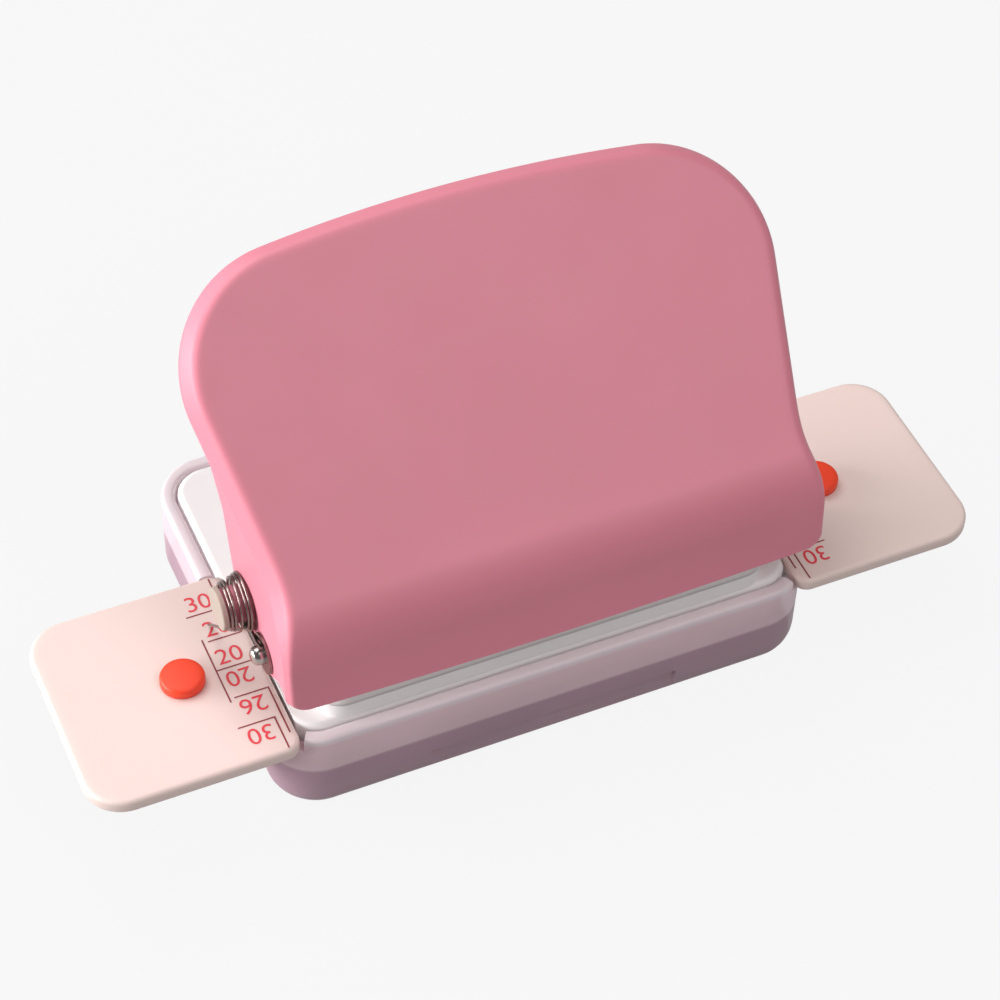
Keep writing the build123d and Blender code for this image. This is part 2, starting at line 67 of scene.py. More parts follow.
def node_box(node):
    """Lowest and highest corner of a solid at rest, in millimetres."""
    low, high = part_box(node)
    return np.array(low) / MM, np.array(high) / MM


# Places that the solids fix: row of punches, bed and its print, pins as (y, z), outer face of the cheeks
PUNCH_LOW, PUNCH_HIGH = node_box("punch_1")
ROW_Y = (PUNCH_LOW[1] + PUNCH_HIGH[1]) / 2
BED = node_box("die_plate")[1][2]
INK = BED + 0.02
PIN_LOW, PIN_HIGH = node_box("pivot_pin")
PIN_RADIUS = (PIN_HIGH[1] - PIN_LOW[1]) / 2
PIVOT = (PIN_LOW[1:] + PIN_HIGH[1:]) / 2
DRIVE_LOW, DRIVE_HIGH = node_box("drive_pin")
DRIVE = (DRIVE_LOW[1:] + DRIVE_HIGH[1:]) / 2
WASHER_LOW, WASHER_HIGH = node_box("right_pivot_washer")
CHEEK = WASHER_LOW[0] - 0.1
WING_LOW, WING_HIGH = node_box("right_wing")
PEG_LOW, PEG_HIGH = node_box("right_peg")
CAP_START = node_box("right_spring_cap")[0][0]
FRAME_FOOT = node_box("base_frame")[0][2]
TRAY_LOW, TRAY_HIGH = node_box("chip_tray")


# Sizes and colours that a user may change


def length(name, description, default):
    """A size in millimetres."""
    return FloatProperty(name=name, description=description, default=default, min=0.0)


def power(name, description, default):
    """A lamp's power in watts."""
    return FloatProperty(name=name, description=description, default=default, min=0.0)


def colour(name, description, default):
    """A linear colour."""
    return FloatVectorProperty(
        name=name, description=description, default=default, subtype="COLOR", size=3, min=0.0, max=1.0
    )


class HandleSettings(bpy.types.PropertyGroup):
    apron_length: length("Apron", "Height of the front apron in mm", 6.62)
    crease_radius: length("Crease", "Radius between apron and plate in mm", 10.0)
    dip_radius: length("Dip", "Radius of the shallow hollow in mm", 150.0)
    plate_run: length("Plate", "Length of the straight plate in mm", 37.9)
    plate_thickness: length("Thickness", "Thickness of the plate in mm", 2.2)
    rim_depth: length("Rim", "Depth of the rolled rim in mm", 3.6)
    rim_wall: length("Wall", "Thickness of rim and cheeks in mm", 1.8)
    edge_width: length("Edge", "Width of the slanted front edge in mm", 2.03)
    edge_tight: length("Tight", "Rounding between front face and slanted edge in mm", 1.4)
    edge_soft: length("Soft", "Rounding between slanted edge and wall in mm", 0.5)
    apron_bow: length("Bow", "How far the apron's lower edge bows forward in mm", 0.6)
    apron_spread: length("Spread", "How far the apron's foot is wider than the waist on each side in mm", 0.7)
    foot_corner: length("Foot corner", "Radius of the apron's lower corners in mm", 1.8)
    flare: length("Flare", "How far the top is wider than the waist on each side in mm", 3.0)
    hub_radius: length("Hub", "Radius of the spring hubs in mm", 2.3)
    tint: colour("Pink", "Satin pink of the handle", (0.72, 0.232, 0.302))


class TraySettings(bpy.types.PropertyGroup):
    wall: length("Wall", "Thickness of the tray's walls in mm", 1.8)
    floor: length("Floor", "Thickness of the tray's floor in mm", 1.6)
    corner: length("Corner", "Radius of the tray's corners in mm", 6.4)
    foot_round: length("Foot", "Rounding of the lower edge in mm", 3.8)
    tint: colour("Lavender", "Milky lavender of the tray", (0.92, 0.68, 0.75))
    # The paler rim tint is painted light on the rim's top, where light from above falls.
    lit_rim_tint: colour("Rim", "Paler lavender of the tray's rim", (0.97, 0.86, 0.90))
    # The deeper tint below the skirt is painted shade, for the dark inside seen through the wall.
    shaded_low_tint: colour("Low lavender", "Deeper lavender below the frame's skirt", (0.54, 0.345, 0.42))
    cover: FloatProperty(
        name="Cover",
        description="How much the milky wall hides",
        default=0.72,
        min=0.0,
        max=1.0,
        subtype="FACTOR",
    )
    frame_tint: colour("White", "White of the frame", (0.92, 0.90, 0.90))
    # The head's off-white is darker than the frame's white: painted shade under the handle's apron.
    shaded_head_tint: colour("Head", "Off-white of the head", (0.83, 0.79, 0.78))


class WingSettings(bpy.types.PropertyGroup):
    outer_corner: length("Outer corner", "Radius of the wing's outer corners in mm", 5.0)
    inner_corner: length("Inner corner", "Radius of the wing's inner corners in mm", 2.0)
    edge_round: length("Edge", "Rounding of the wing's edges in mm", 0.6)
    line_width: length("Line", "Width of the printed lines in mm", 0.2)
    digit_height: length("Digits", "Height of the printed numbers in mm", 2.4)
    tint: colour("Cream", "Cream of the wings", (0.80, 0.635, 0.59))
    ink: colour("Ink", "Red of the printed numbers", (0.72, 0.05, 0.07))
    line_ink: colour("Line ink", "Dark red of the printed lines", (0.26, 0.035, 0.04))
    peg_tint: colour("Peg", "Orange-red of the pegs", (0.87, 0.066, 0.026))


class SpringSettings(bpy.types.PropertyGroup):
    wire: length("Wire", "Diameter of the spring wire in mm", 0.38)
    turns: IntProperty(name="Turns", description="Turns of each coil", default=5, min=3, max=8)
    coil_radius: length("Coil", "Mean radius of the coil's inner turn in mm", 3.65)
    coil_taper: length("Taper", "How much smaller the outer turn's radius is in mm", 0.85)
    # The wire's dark, pinkish brown tint is painted reflection, standing in for the dark and pink surroundings
    # the coil reflects.
    tint: colour("Wire", "Dark bright-drawn wire", (0.27, 0.215, 0.20))
    pin_tint: colour("Pin", "Bright steel of the pin", (0.52, 0.48, 0.46))
    cap_tint: colour("Cap", "Natural nylon of the end caps", (0.42, 0.35, 0.30))


class StageSettings(bpy.types.PropertyGroup):
    key_power: power("Key", "Power of the key light in watts", 7.2)
    fill_power: power("Fill", "Power of the high light in watts", 2.6)
    front_power: power("Front", "Power of the front light in watts", 1.2)
    sheen_power: power("Sheen", "Power of the sheen light in watts", 0.48)
    world_light: FloatProperty(name="World", description="Strength of the even light", default=0.15, min=0.0)
    lens: FloatProperty(name="Lens", description="Focal length in millimetres", default=104.68, min=1.0)


class PunchSettings(bpy.types.PropertyGroup):
    handle: PointerProperty(type=HandleSettings)
    tray: PointerProperty(type=TraySettings)
    wing: PointerProperty(type=WingSettings)
    spring: PointerProperty(type=SpringSettings)
    stage: PointerProperty(type=StageSettings)


# Surfaces


def grid_quads(rows, columns, wrap, start):
    """Quads between neighbours of a rows by columns grid; wrap joins its last column to its first."""
    index = np.arange(rows * columns).reshape(rows, columns) + start
    if wrap:
        index = np.hstack([index, index[:, :1]])
    corners = (index[:-1, :-1], index[:-1, 1:], index[1:, 1:], index[1:, :-1])
    return np.stack(corners, -1).reshape(-1, 4).tolist()


def put_mesh(name, grids, polygons=(), sharp=40.0):
    """One welded mesh, normals outwards, from (grid, wrap) pairs and single polygons in millimetres."""
    points, faces, start = [], [], 0
    for grid, wrap in grids:
        rows, columns = grid.shape[:2]
        faces += grid_quads(rows, columns, wrap, start)
        points.append(grid.reshape(-1, 3))
        start += rows * columns
    for polygon in polygons:
        faces.append(list(range(start, start + len(polygon))))
        points.append(polygon)
        start += len(polygon)
    mesh = bpy.data.meshes.new(name)
    mesh.from_pydata((np.concatenate(points) * MM).tolist(), [], faces)
    solid = bmesh.new()
    solid.from_mesh(mesh)
    bmesh.ops.remove_doubles(solid, verts=solid.verts, dist=2e-6)
    bmesh.ops.dissolve_degenerate(solid, edges=solid.edges, dist=1e-7)
    bmesh.ops.recalc_face_normals(solid, faces=solid.faces)
    solid.to_mesh(mesh)
    solid.free()
    smooth(mesh, sharp)
    piece = bpy.data.objects.new(name, mesh)
    bpy.context.scene.collection.objects.link(piece)
    return piece


def smooth(mesh, sharp):
    """Smooth shading, with creases kept where faces meet at more than sharp degrees."""
    mesh.polygons.foreach_set("use_smooth", np.ones(len(mesh.polygons), bool))
    mesh.set_sharp_from_angle(angle=math.radians(sharp))


def join_meshes(name, pieces):
    """One object from several, which are removed."""
    solid = bmesh.new()
    for piece in pieces:
        solid.from_mesh(piece.data)
        bpy.data.objects.remove(piece)
    mesh = bpy.data.meshes.new(name)
    solid.to_mesh(mesh)
    solid.free()
    joined = bpy.data.objects.new(name, mesh)
    bpy.context.scene.collection.objects.link(joined)
    return joined


def lathe_x(profile, centre, steps=72):
    """Turned surface about a line along X: each (x, radius) of the profile becomes a ring."""
    turn = np.linspace(0, 2 * np.pi, steps, endpoint=False)
    x = np.repeat(profile[:, :1], steps, 1)
    y = centre[0] + profile[:, 1:] * np.cos(turn)
    z = centre[1] + profile[:, 1:] * np.sin(turn)
    return np.stack([x, y, z], -1)


def lathe_z(profile, centre, steps=72):
    """Turned surface about an upright line: each (radius, z) of the profile becomes a ring."""
    turn = np.linspace(0, 2 * np.pi, steps, endpoint=False)
    x = centre[0] + profile[:, :1] * np.cos(turn)
    y = centre[1] + profile[:, :1] * np.sin(turn)
    z = np.repeat(profile[:, 1:], steps, 1)
    return np.stack([x, y, z], -1)


def ease(share):
    """Smooth step from 0 to 1: three times the square less twice the cube."""
    return share**2 * (3 - 2 * share)


def quarter(steps=7):
    """Sine and one minus cosine over a quarter turn, for a rounded edge."""
    turn = np.linspace(0, np.pi / 2, steps)
    return np.sin(turn), 1 - np.cos(turn)


def rounded_outline(low, high, corners, steps=14):
    """Closed outline of a rectangle, each corner an arc; corners holds their radii, anticlockwise
    from (+x, +y). Gives the arcs' centres, their outward unit normals and their radii at each point."""
    signs = np.array([(1, 1), (-1, 1), (-1, -1), (1, -1)], float)
    middle = (np.array(high) + np.array(low)) / 2
    half = (np.array(high) - np.array(low)) / 2
    radius = np.repeat(np.array(corners, float), steps)
    sign = np.repeat(signs, steps, 0)
    turn = (np.arange(4)[:, None] + np.linspace(0, 1, steps)[None, :]).ravel() * np.pi / 2
    normal = np.stack([np.cos(turn), np.sin(turn)], -1)
    centre = middle + sign * (half - radius[:, None])
    return centre, normal, radius


def plate_grid(outline, rows):
    """Closed plate from an outline: each row is an (inset, z) ring, or its middle where inset is None."""
    centre, normal, radius = outline
    rings = []
    for inset, z in rows:
        if inset is None:
            flat = np.repeat(centre.mean(0)[None, :], len(centre), 0)
        else:
            flat = centre + normal * (radius[:, None] - inset)
        rings.append(np.column_stack([flat, np.full(len(flat), z)]))
    return np.stack(rings)


# Finishes


class Signal:
    """A value in a finish's node tree. Arithmetic on it adds Math nodes."""

    def __init__(self, finish, socket):
        self.finish = finish
        self.socket = socket

    def join(self, operation, first, second):
        return self.finish.node("ShaderNodeMath", {"operation": operation}, {0: first, 1: second})

    def __add__(self, other):
        return self.join("ADD", self, other)

    __radd__ = __add__

    def __mul__(self, other):
        return self.join("MULTIPLY", self, other)

    __rmul__ = __mul__

    def __sub__(self, other):
        return self.join("SUBTRACT", self, other)

    def __rsub__(self, other):
        return self.join("SUBTRACT", other, self)


class Finish:
    """A material with one principled surface, built from expressions."""

    def __init__(self, name):
        self.material = bpy.data.materials.new(name)
        self.material.use_nodes = True
        self.tree = self.material.node_tree
        self.tree.nodes.clear()

    def node(self, kind, settings=None, inputs=None, output=0):
        """Adds a node: settings first, then its sockets' values or links."""
        made = self.tree.nodes.new(kind)
        for key, value in (settings or {}).items():
            setattr(made, key, value)
        for key, value in (inputs or {}).items():
            socket = made.inputs[key]
            if isinstance(value, Signal):
                self.tree.links.new(value.socket, socket)
            else:
                socket.default_value = value
        return Signal(self, made.outputs[output]) if made.outputs else None

    def place(self):
        """Object coordinates, in metres."""
        return self.node("ShaderNodeTexCoord", output="Object")

    def noise(self, scale, detail=3.0, roughness=0.5):
        """Noise of a scale in waves per metre."""
        inputs = {"Vector": self.place(), "Scale": scale, "Detail": detail, "Roughness": roughness}
        return self.node("ShaderNodeTexNoise", {"normalize": True}, inputs)

    def ramp(self, value, start, end):
        """Smooth step from 0 at start to 1 at end."""
        inputs = {"Value": value, "From Min": start, "From Max": end}
        return self.node("ShaderNodeMapRange", {"interpolation_type": "SMOOTHSTEP"}, inputs)

    def mix(self, factor, first, second):
        """Blend of two colours."""
        inputs = {0: factor, 6: first, 7: second}
        return self.node("ShaderNodeMix", {"data_type": "RGBA"}, inputs, 2)

    def bump(self, height, distance, strength=1.0):
        """Normal from a height."""
        inputs = {"Height": height, "Distance": distance, "Strength": strength}
        return self.node("ShaderNodeBump", None, inputs)

    def surface(self, **sockets):
        """Principled surface on the material's output; a socket's name has its spaces as underscores."""
        inputs = {key.replace("_", " "): value for key, value in sockets.items()}
        shader = self.node("ShaderNodeBsdfPrincipled", None, inputs)
        self.node("ShaderNodeOutputMaterial", None, {"Surface": shader})
        return self.material


def tone(tint, gain):
    """A colour made lighter or darker, with full alpha."""
    return (*(min(1.0, part * gain) for part in tint), 1.0)


def moulded_finish(name, tint, roughness, spread=0.05, grain=0.5, soft=0.0, **constants):
    """Moulded plastic: faint flow marks in the colour, a spark-eroded grain and uneven gloss,
    with edges shaded as if rounded by the radius soft."""
    finish = Finish(name)
    flow = finish.noise(55.0, 2.0)
    grains = finish.noise(5200.0, 2.0)
    base = finish.mix(flow, tone(tint, 1 - spread), tone(tint, 1 + spread))
    gloss = roughness - 0.06 + 0.12 * finish.noise(140.0, 3.0)
    normal = finish.bump(grains, 0.00002 * grain, 0.35)
    if soft:
        normal = finish.node("ShaderNodeBevel", {"samples": 8}, {"Radius": soft, "Normal": normal})
    return finish.surface(Base_Color=base, Roughness=gloss, Normal=normal, **constants)


def brushed_finish(name, tint, roughness):
    """Ground steel: fine scratches across X and a cloudy gloss."""
    finish = Finish(name)
    waves = (400.0, 9000.0, 9000.0)
    stretched = finish.node("ShaderNodeMapping", None, {"Vector": finish.place(), "Scale": waves})
    scratch = finish.node("ShaderNodeTexNoise", None, {"Vector": stretched, "Scale": 1.0, "Detail": 2.0})
    base = finish.mix(scratch, tone(tint, 0.86), tone(tint, 1.1))
    gloss = roughness + 0.14 * scratch
    normal = finish.bump(scratch, 0.00001, 0.3)
    return finish.surface(Base_Color=base, Roughness=gloss, Metallic=1.0, Normal=normal)


def bright_finish(name, tint, roughness):
    """Bright drawn wire and pins: near mirror, with cloudy marks of handling."""
    finish = Finish(name)
    cloud = finish.noise(900.0, 3.0)
    base = finish.mix(cloud, tone(tint, 0.82), tone(tint, 1.12))
    gloss = roughness + 0.16 * cloud
    return finish.surface(Base_Color=base, Roughness=gloss, Metallic=1.0)


def paint(piece, material):
    """Gives a piece one finish."""
    piece.data.materials.clear()
    piece.data.materials.append(material)


def dress_node(node, material):
    """Gives a solid that stays visible its finish."""
    paint(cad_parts[node], material)


# Handle


class HandleShape:
    """The handle as a sheet in (x, t): x across and t along its front profile, with depth behind
    the front face. Lengths are in millimetres, slopes and turns in radians."""

    apron_lean = math.radians(85.5)
    low_slope = math.radians(40.5)
    plate_slope = math.radians(42.0)
    edge_flank = math.radians(64.0)
    # The apron's foot in front of the punches and above the bed, and how far back its spread reaches
    foot_ahead = 15.6
    foot_height = 8.0
    spread_reach = 6.0
    # How much of the slanted front edge is left on the apron
    apron_edge = 0.45
    # Outline in the plate's plane: half width and arc of the waist, lean of the flare, corner and top
    waist = CHEEK
    waist_arc = 30.0
    flare_turn = math.radians(8.3)
    corner = 15.0
    top_turn = math.radians(90 - 6.5)
    # Cheek: lobe round the drive pin, reach behind the punches, rounding of the rear edge
    lobe_radius = 2.75
    rear_reach = 4.3
    rear_round = 0.35

    def __init__(self, settings):
        self.size = settings
        self.t_crease = settings.apron_length
        self.t_plate = self.t_crease + (self.apron_lean - self.low_slope) * settings.crease_radius
        self.t_dip = self.t_plate + (self.plate_slope - self.low_slope) * settings.dip_radius
        knots = [0, self.t_crease, self.t_plate, self.t_dip, self.t_dip + 2 * settings.plate_run]
        slopes = [self.apron_lean, self.apron_lean, self.low_slope, self.plate_slope, self.plate_slope]
        # The slope changes evenly with length on each arc, and its sum gives the profile.
        self.t = np.linspace(0, knots[-1], 6000)
        self.slope = np.interp(self.t, knots, slopes)
        step = np.diff(self.t)
        mid = (self.slope[1:] + self.slope[:-1]) / 2
        self.y = ROW_Y - self.foot_ahead + np.concatenate([[0], np.cumsum(np.cos(mid) * step)])
        self.z = BED + self.foot_height + np.concatenate([[0], np.cumsum(np.sin(mid) * step)])
        self.dip_end = self.profile(self.t_dip, 0.0)
        self.along = np.array([math.cos(self.plate_slope), math.sin(self.plate_slope)])
        self.set_outline()

    def set_outline(self):
        """Outline in the plate's plane, with v up the slope from the end of the dip:
        straight waist, hollow arc, straight flare, corner arc and bowed top."""
        self.corner_x = self.waist + self.size.flare - self.corner
        self.top_radius = self.corner_x / math.cos(self.top_turn) + self.corner
        self.top_v = self.size.plate_run - self.top_radius
        self.corner_v = self.top_v + (self.top_radius - self.corner) * math.sin(self.top_turn)
        taper = self.corner_x + self.corner * math.cos(self.flare_turn) - self.waist
        taper -= self.waist_arc * (1 - math.cos(self.flare_turn))
        self.flare_v = self.corner_v - self.corner * math.sin(self.flare_turn)
        self.hollow_v = self.flare_v - taper / math.tan(self.flare_turn)
        self.waist_v = self.hollow_v - self.waist_arc * math.sin(self.flare_turn)

    def half_width(self, v):
        """Half width of the outline at v below the corner arc: waist, arc, then a straight flare."""
        rise = np.clip(v - self.waist_v, 0, self.hollow_v - self.waist_v)
        hollow = self.waist + self.waist_arc - np.sqrt(self.waist_arc**2 - rise**2)
        return hollow + np.clip(v - self.hollow_v, 0, None) * math.tan(self.flare_turn)

    def side_width(self, y, z, t):
        """Half width of the side at t: the outline's, spread towards the apron's foot,
        less the foot's round corner."""
        fade = np.clip((self.y[0] + self.spread_reach - y) / self.spread_reach, 0, 1)
        spread = self.size.apron_spread * ease(fade)
        return self.half_width(self.height(y, z)) + spread - self.foot_cut(t)

    def edge_share(self, t):
        """How much of the slanted front edge there is at t: tight on the apron, full above the crease."""
        fade = np.clip((t - self.t_crease) / (self.t_plate - self.t_crease), 0, 1)
        return self.apron_edge + (1 - self.apron_edge) * ease(fade)

    def foot_cut(self, t):
        """How far the rounded lower corner of the apron stays inside the half width at t."""
        radius = self.size.foot_corner
        rest = np.clip(radius - t, 0, radius)
        return radius - np.sqrt(radius**2 - rest**2)

    def height(self, y, z):
        """Distance v along the plate's slope from the end of the dip."""
        return (y - self.dip_end[0]) * self.along[0] + (z - self.dip_end[1]) * self.along[1]

    def profile(self, t, depth):
        """Y and Z of the front profile at t, moved inwards by depth."""
        slope = np.interp(t, self.t, self.slope)
        y = np.interp(t, self.t, self.y) + depth * np.sin(slope)
        z = np.interp(t, self.t, self.z) - depth * np.cos(slope)
        return y, z

    def lift(self, x, t, depth):
        """Points in space for (x, t, depth), the apron bowed forward towards its lower edge."""
        y, z = self.profile(t, depth)
        fade = np.clip(1 - t / self.size.apron_length, 0, 1) ** 2
        bow = self.size.apron_bow * fade * (1 - np.clip(x / self.waist, -1, 1) ** 2)
        return np.stack([x, y - bow, z], -1)

    def edge(self, side_steps=150, arc_steps=40, top_steps=26):
        """Right half of the outline from the apron's foot to the middle of the top:
        x, t, the outward normal in the sheet, how many points belong to the side,
        and the point where the face's side edge ends and its top edge starts."""
        round_steps = 14
        corner = self.size.foot_corner * (1 - np.cos(np.linspace(0, np.pi / 2, round_steps)))
        t_end = self.t_dip + self.flare_v
        t_side = np.concatenate([corner, np.linspace(corner[-1], t_end, side_steps - round_steps + 1)[1:]])
        y, z = self.profile(t_side, 0.0)
        v = self.height(y, z)
        tilt = np.gradient(self.half_width(v), t_side)
        x_side = self.side_width(y, z, t_side)
        side_normal = np.stack([np.ones_like(tilt), -tilt], -1) / np.sqrt(1 + tilt**2)[:, None]
        turn = np.linspace(-self.flare_turn, self.top_turn, arc_steps)[1:]
        arc = np.stack([np.cos(turn), np.sin(turn)], -1)
        x_arc = self.corner_x + self.corner * arc[:, 0]
        t_arc = self.t_dip + self.corner_v + self.corner * arc[:, 1]
        turn = np.linspace(self.top_turn, np.pi / 2, top_steps)[1:]
        top = np.stack([np.cos(turn), np.sin(turn)], -1)
        x_top = self.top_radius * top[:, 0]
        t_top = self.t_dip + self.top_v + self.top_radius * top[:, 1]
        x = np.concatenate([x_side, x_arc, x_top])
        t = np.concatenate([t_side, t_arc, t_top])
        normal = np.concatenate([side_normal, arc, top])
        split = side_steps + int(np.argmin(np.abs(np.arctan2(arc[:, 1], arc[:, 0]) - np.pi / 4)))
        return x, t, normal, side_steps, split

    def front_edge(self):
        """Inset and depth from the front face to the wall: a tight arc, a slanted flank and a softer arc."""
        size = self.size
        flank = self.edge_flank
        turn = np.linspace(0, flank, 7)
        inset = size.edge_width - size.edge_tight * np.sin(turn)
        depth = size.edge_tight * (1 - np.cos(turn))
        turn = np.linspace(flank, np.pi / 2, 7)
        soft_inset = size.edge_soft * (1 - np.sin(turn))
        rise = (inset[-1] - soft_inset[0]) * math.tan(flank)
        soft_depth = depth[-1] + rise + size.edge_soft * (math.cos(flank) - np.cos(turn))
        return np.concatenate([inset, soft_inset]), np.concatenate([depth, soft_depth])

    def rear_line(self, t):
        """Y and Z of the cheek's lower and rear outline that belongs to each t of the side:
        straight runs between knots of (t, y, z), softened by a running mean with a bell's weights."""
        size = self.size
        t_end = self.t_dip + self.flare_v
        foot = self.profile(0.0, size.rim_depth + size.edge_tight)
        start = self.profile(self.t_dip, size.rim_depth)
        end = self.profile(t_end, size.rim_depth)
        lobe = DRIVE + self.lobe_radius * math.sqrt(0.5) * np.array([1, -1])
        rear_y = ROW_Y + self.rear_reach
        v_top = (rear_y - start[0]) / self.along[0]
        knots = np.array([
            (0.0, *foot),
            (4.4, PIVOT[0] - 1.2, PIVOT[1] - 3.1),
            (5.6, PIVOT[0] + 0.4, PIVOT[1] - 3.25),
            (8.1, PIVOT[0] + 3.2, PIVOT[1] - 3.2),
            (9.4, lobe[0] - 3.0, lobe[1] - 3.0),
            (13.5, rear_y, lobe[1] + rear_y - lobe[0]),
            (25.0, rear_y - 1.0, BED + 25.0),
            (self.t_dip + v_top, rear_y, start[1] + v_top * self.along[1]),
            (t_end, *end),
        ])
        dense = np.linspace(0, t_end, 1200)
        reach = 30
        bell = np.hanning(2 * reach + 1)
        bell /= bell.sum()
        soft = []
        for values in knots.T[1:]:
            line = np.interp(dense, knots[:, 0], values)
            before = 2 * line[0] - line[reach:0:-1]
            after = 2 * line[-1] - line[-2 : -reach - 2 : -1]
            mean = np.convolve(np.concatenate([before, line, after]), bell, "valid")
            soft.append(np.interp(t, dense, mean))
        return soft

    def rim(self, side):
        """Edge strip of one side: rounded front edge, wall or cheek, rounded rear edge and inner wall.
        Rows run from the front face to the inner face, columns along the outline."""
        size = self.size
        x, t, normal, side_steps, _ = self.edge()
        insets, depths = self.front_edge()
        scale = self.edge_share(t)
        y_wall, z_wall = self.profile(t, depths[-1] * scale)
        y_rear, z_rear = self.profile(t, size.rim_depth)
        y_rear[:side_steps], z_rear[:side_steps] = self.rear_line(t[:side_steps])
        on_side = np.arange(len(t)) < side_steps
        run = np.stack([np.gradient(y_rear), np.gradient(z_rear)], -1)
        run /= np.linalg.norm(run, axis=1)[:, None]
        slope = np.interp(t, self.t, self.slope)
        side_out = np.stack([run[:, 1], -run[:, 0]], -1)
        plate_out = np.stack([np.sin(slope), -np.cos(slope)], -1)
        out = np.where(on_side[:, None], side_out, plate_out)
        tip = self.rear_round
        y_end, z_end = y_rear - tip * out[:, 0], z_rear - tip * out[:, 1]

        def wall_row(y, z, inset):
            wide = np.where(on_side, self.side_width(y, z, t), x)
            return np.stack([
                wide - inset * normal[:, 0],
                y - inset * normal[:, 1] * self.along[0],
                z - inset * normal[:, 1] * self.along[1],
            ], -1)

        rows = []
        for inset, depth in zip(insets, depths):
            step = inset * scale[:, None] * normal
            rows.append(self.lift(x - step[:, 0], t - step[:, 1], depth * scale))
        for share in np.linspace(0, 1, 14)[1:]:
            rows.append(wall_row(y_wall + share * (y_end - y_wall), z_wall + share * (z_end - z_wall), 0.0))
        half = size.rim_wall / 2
        for turn in np.linspace(0, np.pi, 9)[1:]:
            inset = half * (1 - math.cos(turn))
            push = tip * math.sin(turn)
            rows.append(wall_row(y_end + push * out[:, 0], z_end + push * out[:, 1], inset))
        step = size.rim_wall * normal
        inner = self.lift(x - step[:, 0], t - step[:, 1], size.plate_thickness)
        last = rows[-1]
        for share in np.linspace(0, 1, 12)[1:]:
            rows.append(last + share * (inner - last))
        strip = np.stack(rows)
        strip[..., 0] *= side
        return strip

    def face(self, inset, depth, tight):
        """Front or inner face: a sheet spanned between its four edges, the sum of the two ruled sheets
        less the sheet through the four corners. A tight face follows the share of the slanted edge."""
        x, t, normal, _, split = self.edge()
        step = normal * inset * (self.edge_share(t)[:, None] if tight else 1.0)
        x, t = x - step[:, 0], t - step[:, 1]
        right = np.stack([x[: split + 1], t[: split + 1]], -1)
        half_top = np.stack([x[split:], t[split:]], -1)
        flip = np.array([-1.0, 1.0])
        top = np.concatenate([half_top * flip, half_top[-2::-1]])
        left = right * flip
        share = np.concatenate([[0], np.cumsum(np.linalg.norm(np.diff(top, axis=0), axis=1))])
        share /= share[-1]
        bottom = np.stack([left[0, 0] + share * (right[0, 0] - left[0, 0]), np.zeros_like(share)], -1)
        up = np.linspace(0, 1, len(right))[:, None, None]
        across = share[None, :, None]
        sheet = (1 - across) * left[:, None] + across * right[:, None]
        sheet += (1 - up) * bottom[None] + up * top[None]
        sheet -= (1 - up) * ((1 - across) * left[0] + across * right[0])
        sheet -= up * ((1 - across) * left[-1] + across * right[-1])
        return self.lift(sheet[..., 0], sheet[..., 1], depth)


def cut_hole(piece, centre, radius, reach):
    """Cuts a round hole along X through a piece."""
    profile = np.array([(-reach, 0.0), (-reach, radius), (reach, radius), (reach, 0.0)])
    cutter = put_mesh("cutter", [(lathe_x(profile, centre, 48), True)])
    cut = piece.modifiers.new("hole", "BOOLEAN")
    cut.operation = "DIFFERENCE"
    cut.solver = "EXACT"
    cut.object = cutter
    view = bpy.context.evaluated_depsgraph_get()
    cut_mesh = bpy.data.meshes.new_from_object(piece.evaluated_get(view))
    piece.modifiers.clear()
    piece.data = cut_mesh
    bpy.data.objects.remove(cutter)


class PUNCH_OT_handle(bpy.types.Operator):
    """Makes the pink handle with its cheeks, rolled rim and spring hubs"""

    bl_idname = "punch.handle"
    bl_label = "Handle"

    pin_play = 0.05
    pin_reach = 60.0
    hub_gap = 0.12
    hub_sink = 0.4
    hub_bevel = 0.3

    def execute(self, context):
        settings = context.scene.punch.handle
        shape = HandleShape(settings)
        front = shape.face(settings.edge_width, 0.0, True)
        inner = shape.face(settings.rim_wall, settings.plate_thickness, False)
        right, left = shape.rim(1), shape.rim(-1)
        lower = np.stack([front[0], inner[0]])
        grids = [(front, False), (inner, False), (right, False), (left, False), (lower, False)]
        shell = put_mesh("shell", grids, [right[:, 0], left[:, 0]])
        cut_hole(shell, PIVOT, PIN_RADIUS + self.pin_play, self.pin_reach)
        hub = self.hub(settings.hub_radius)
        hubs = [put_mesh("hub", [(lathe_x(hub * (side, 1), DRIVE, 64), True)]) for side in (-1, 1)]
        handle = join_meshes("handle", [shell, *hubs])
        smooth(handle.data, 35.0)
        paint(handle, moulded_finish("satin_pink", settings.tint, 0.5, 0.035, 0.6, Specular_IOR_Level=0.45))
        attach(handle, "handle")
        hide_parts("handle_shell")
        return {"FINISHED"}

    def hub(self, radius):
        """Profile of a spring hub as (x, radius): sunk into the cheek, with a wider foot
        and a bevelled end."""
        start, end = CHEEK - self.hub_sink, CAP_START - self.hub_gap
        return np.array([
            (start, 0.0),
            (start, radius + self.hub_sink),
            (CHEEK + 0.15, radius + 0.2),
            (CHEEK + 0.45, radius),
            (end - self.hub_bevel, radius),
            (end, radius - self.hub_bevel),
            (end, 0.0),
        ])


# Chip tray


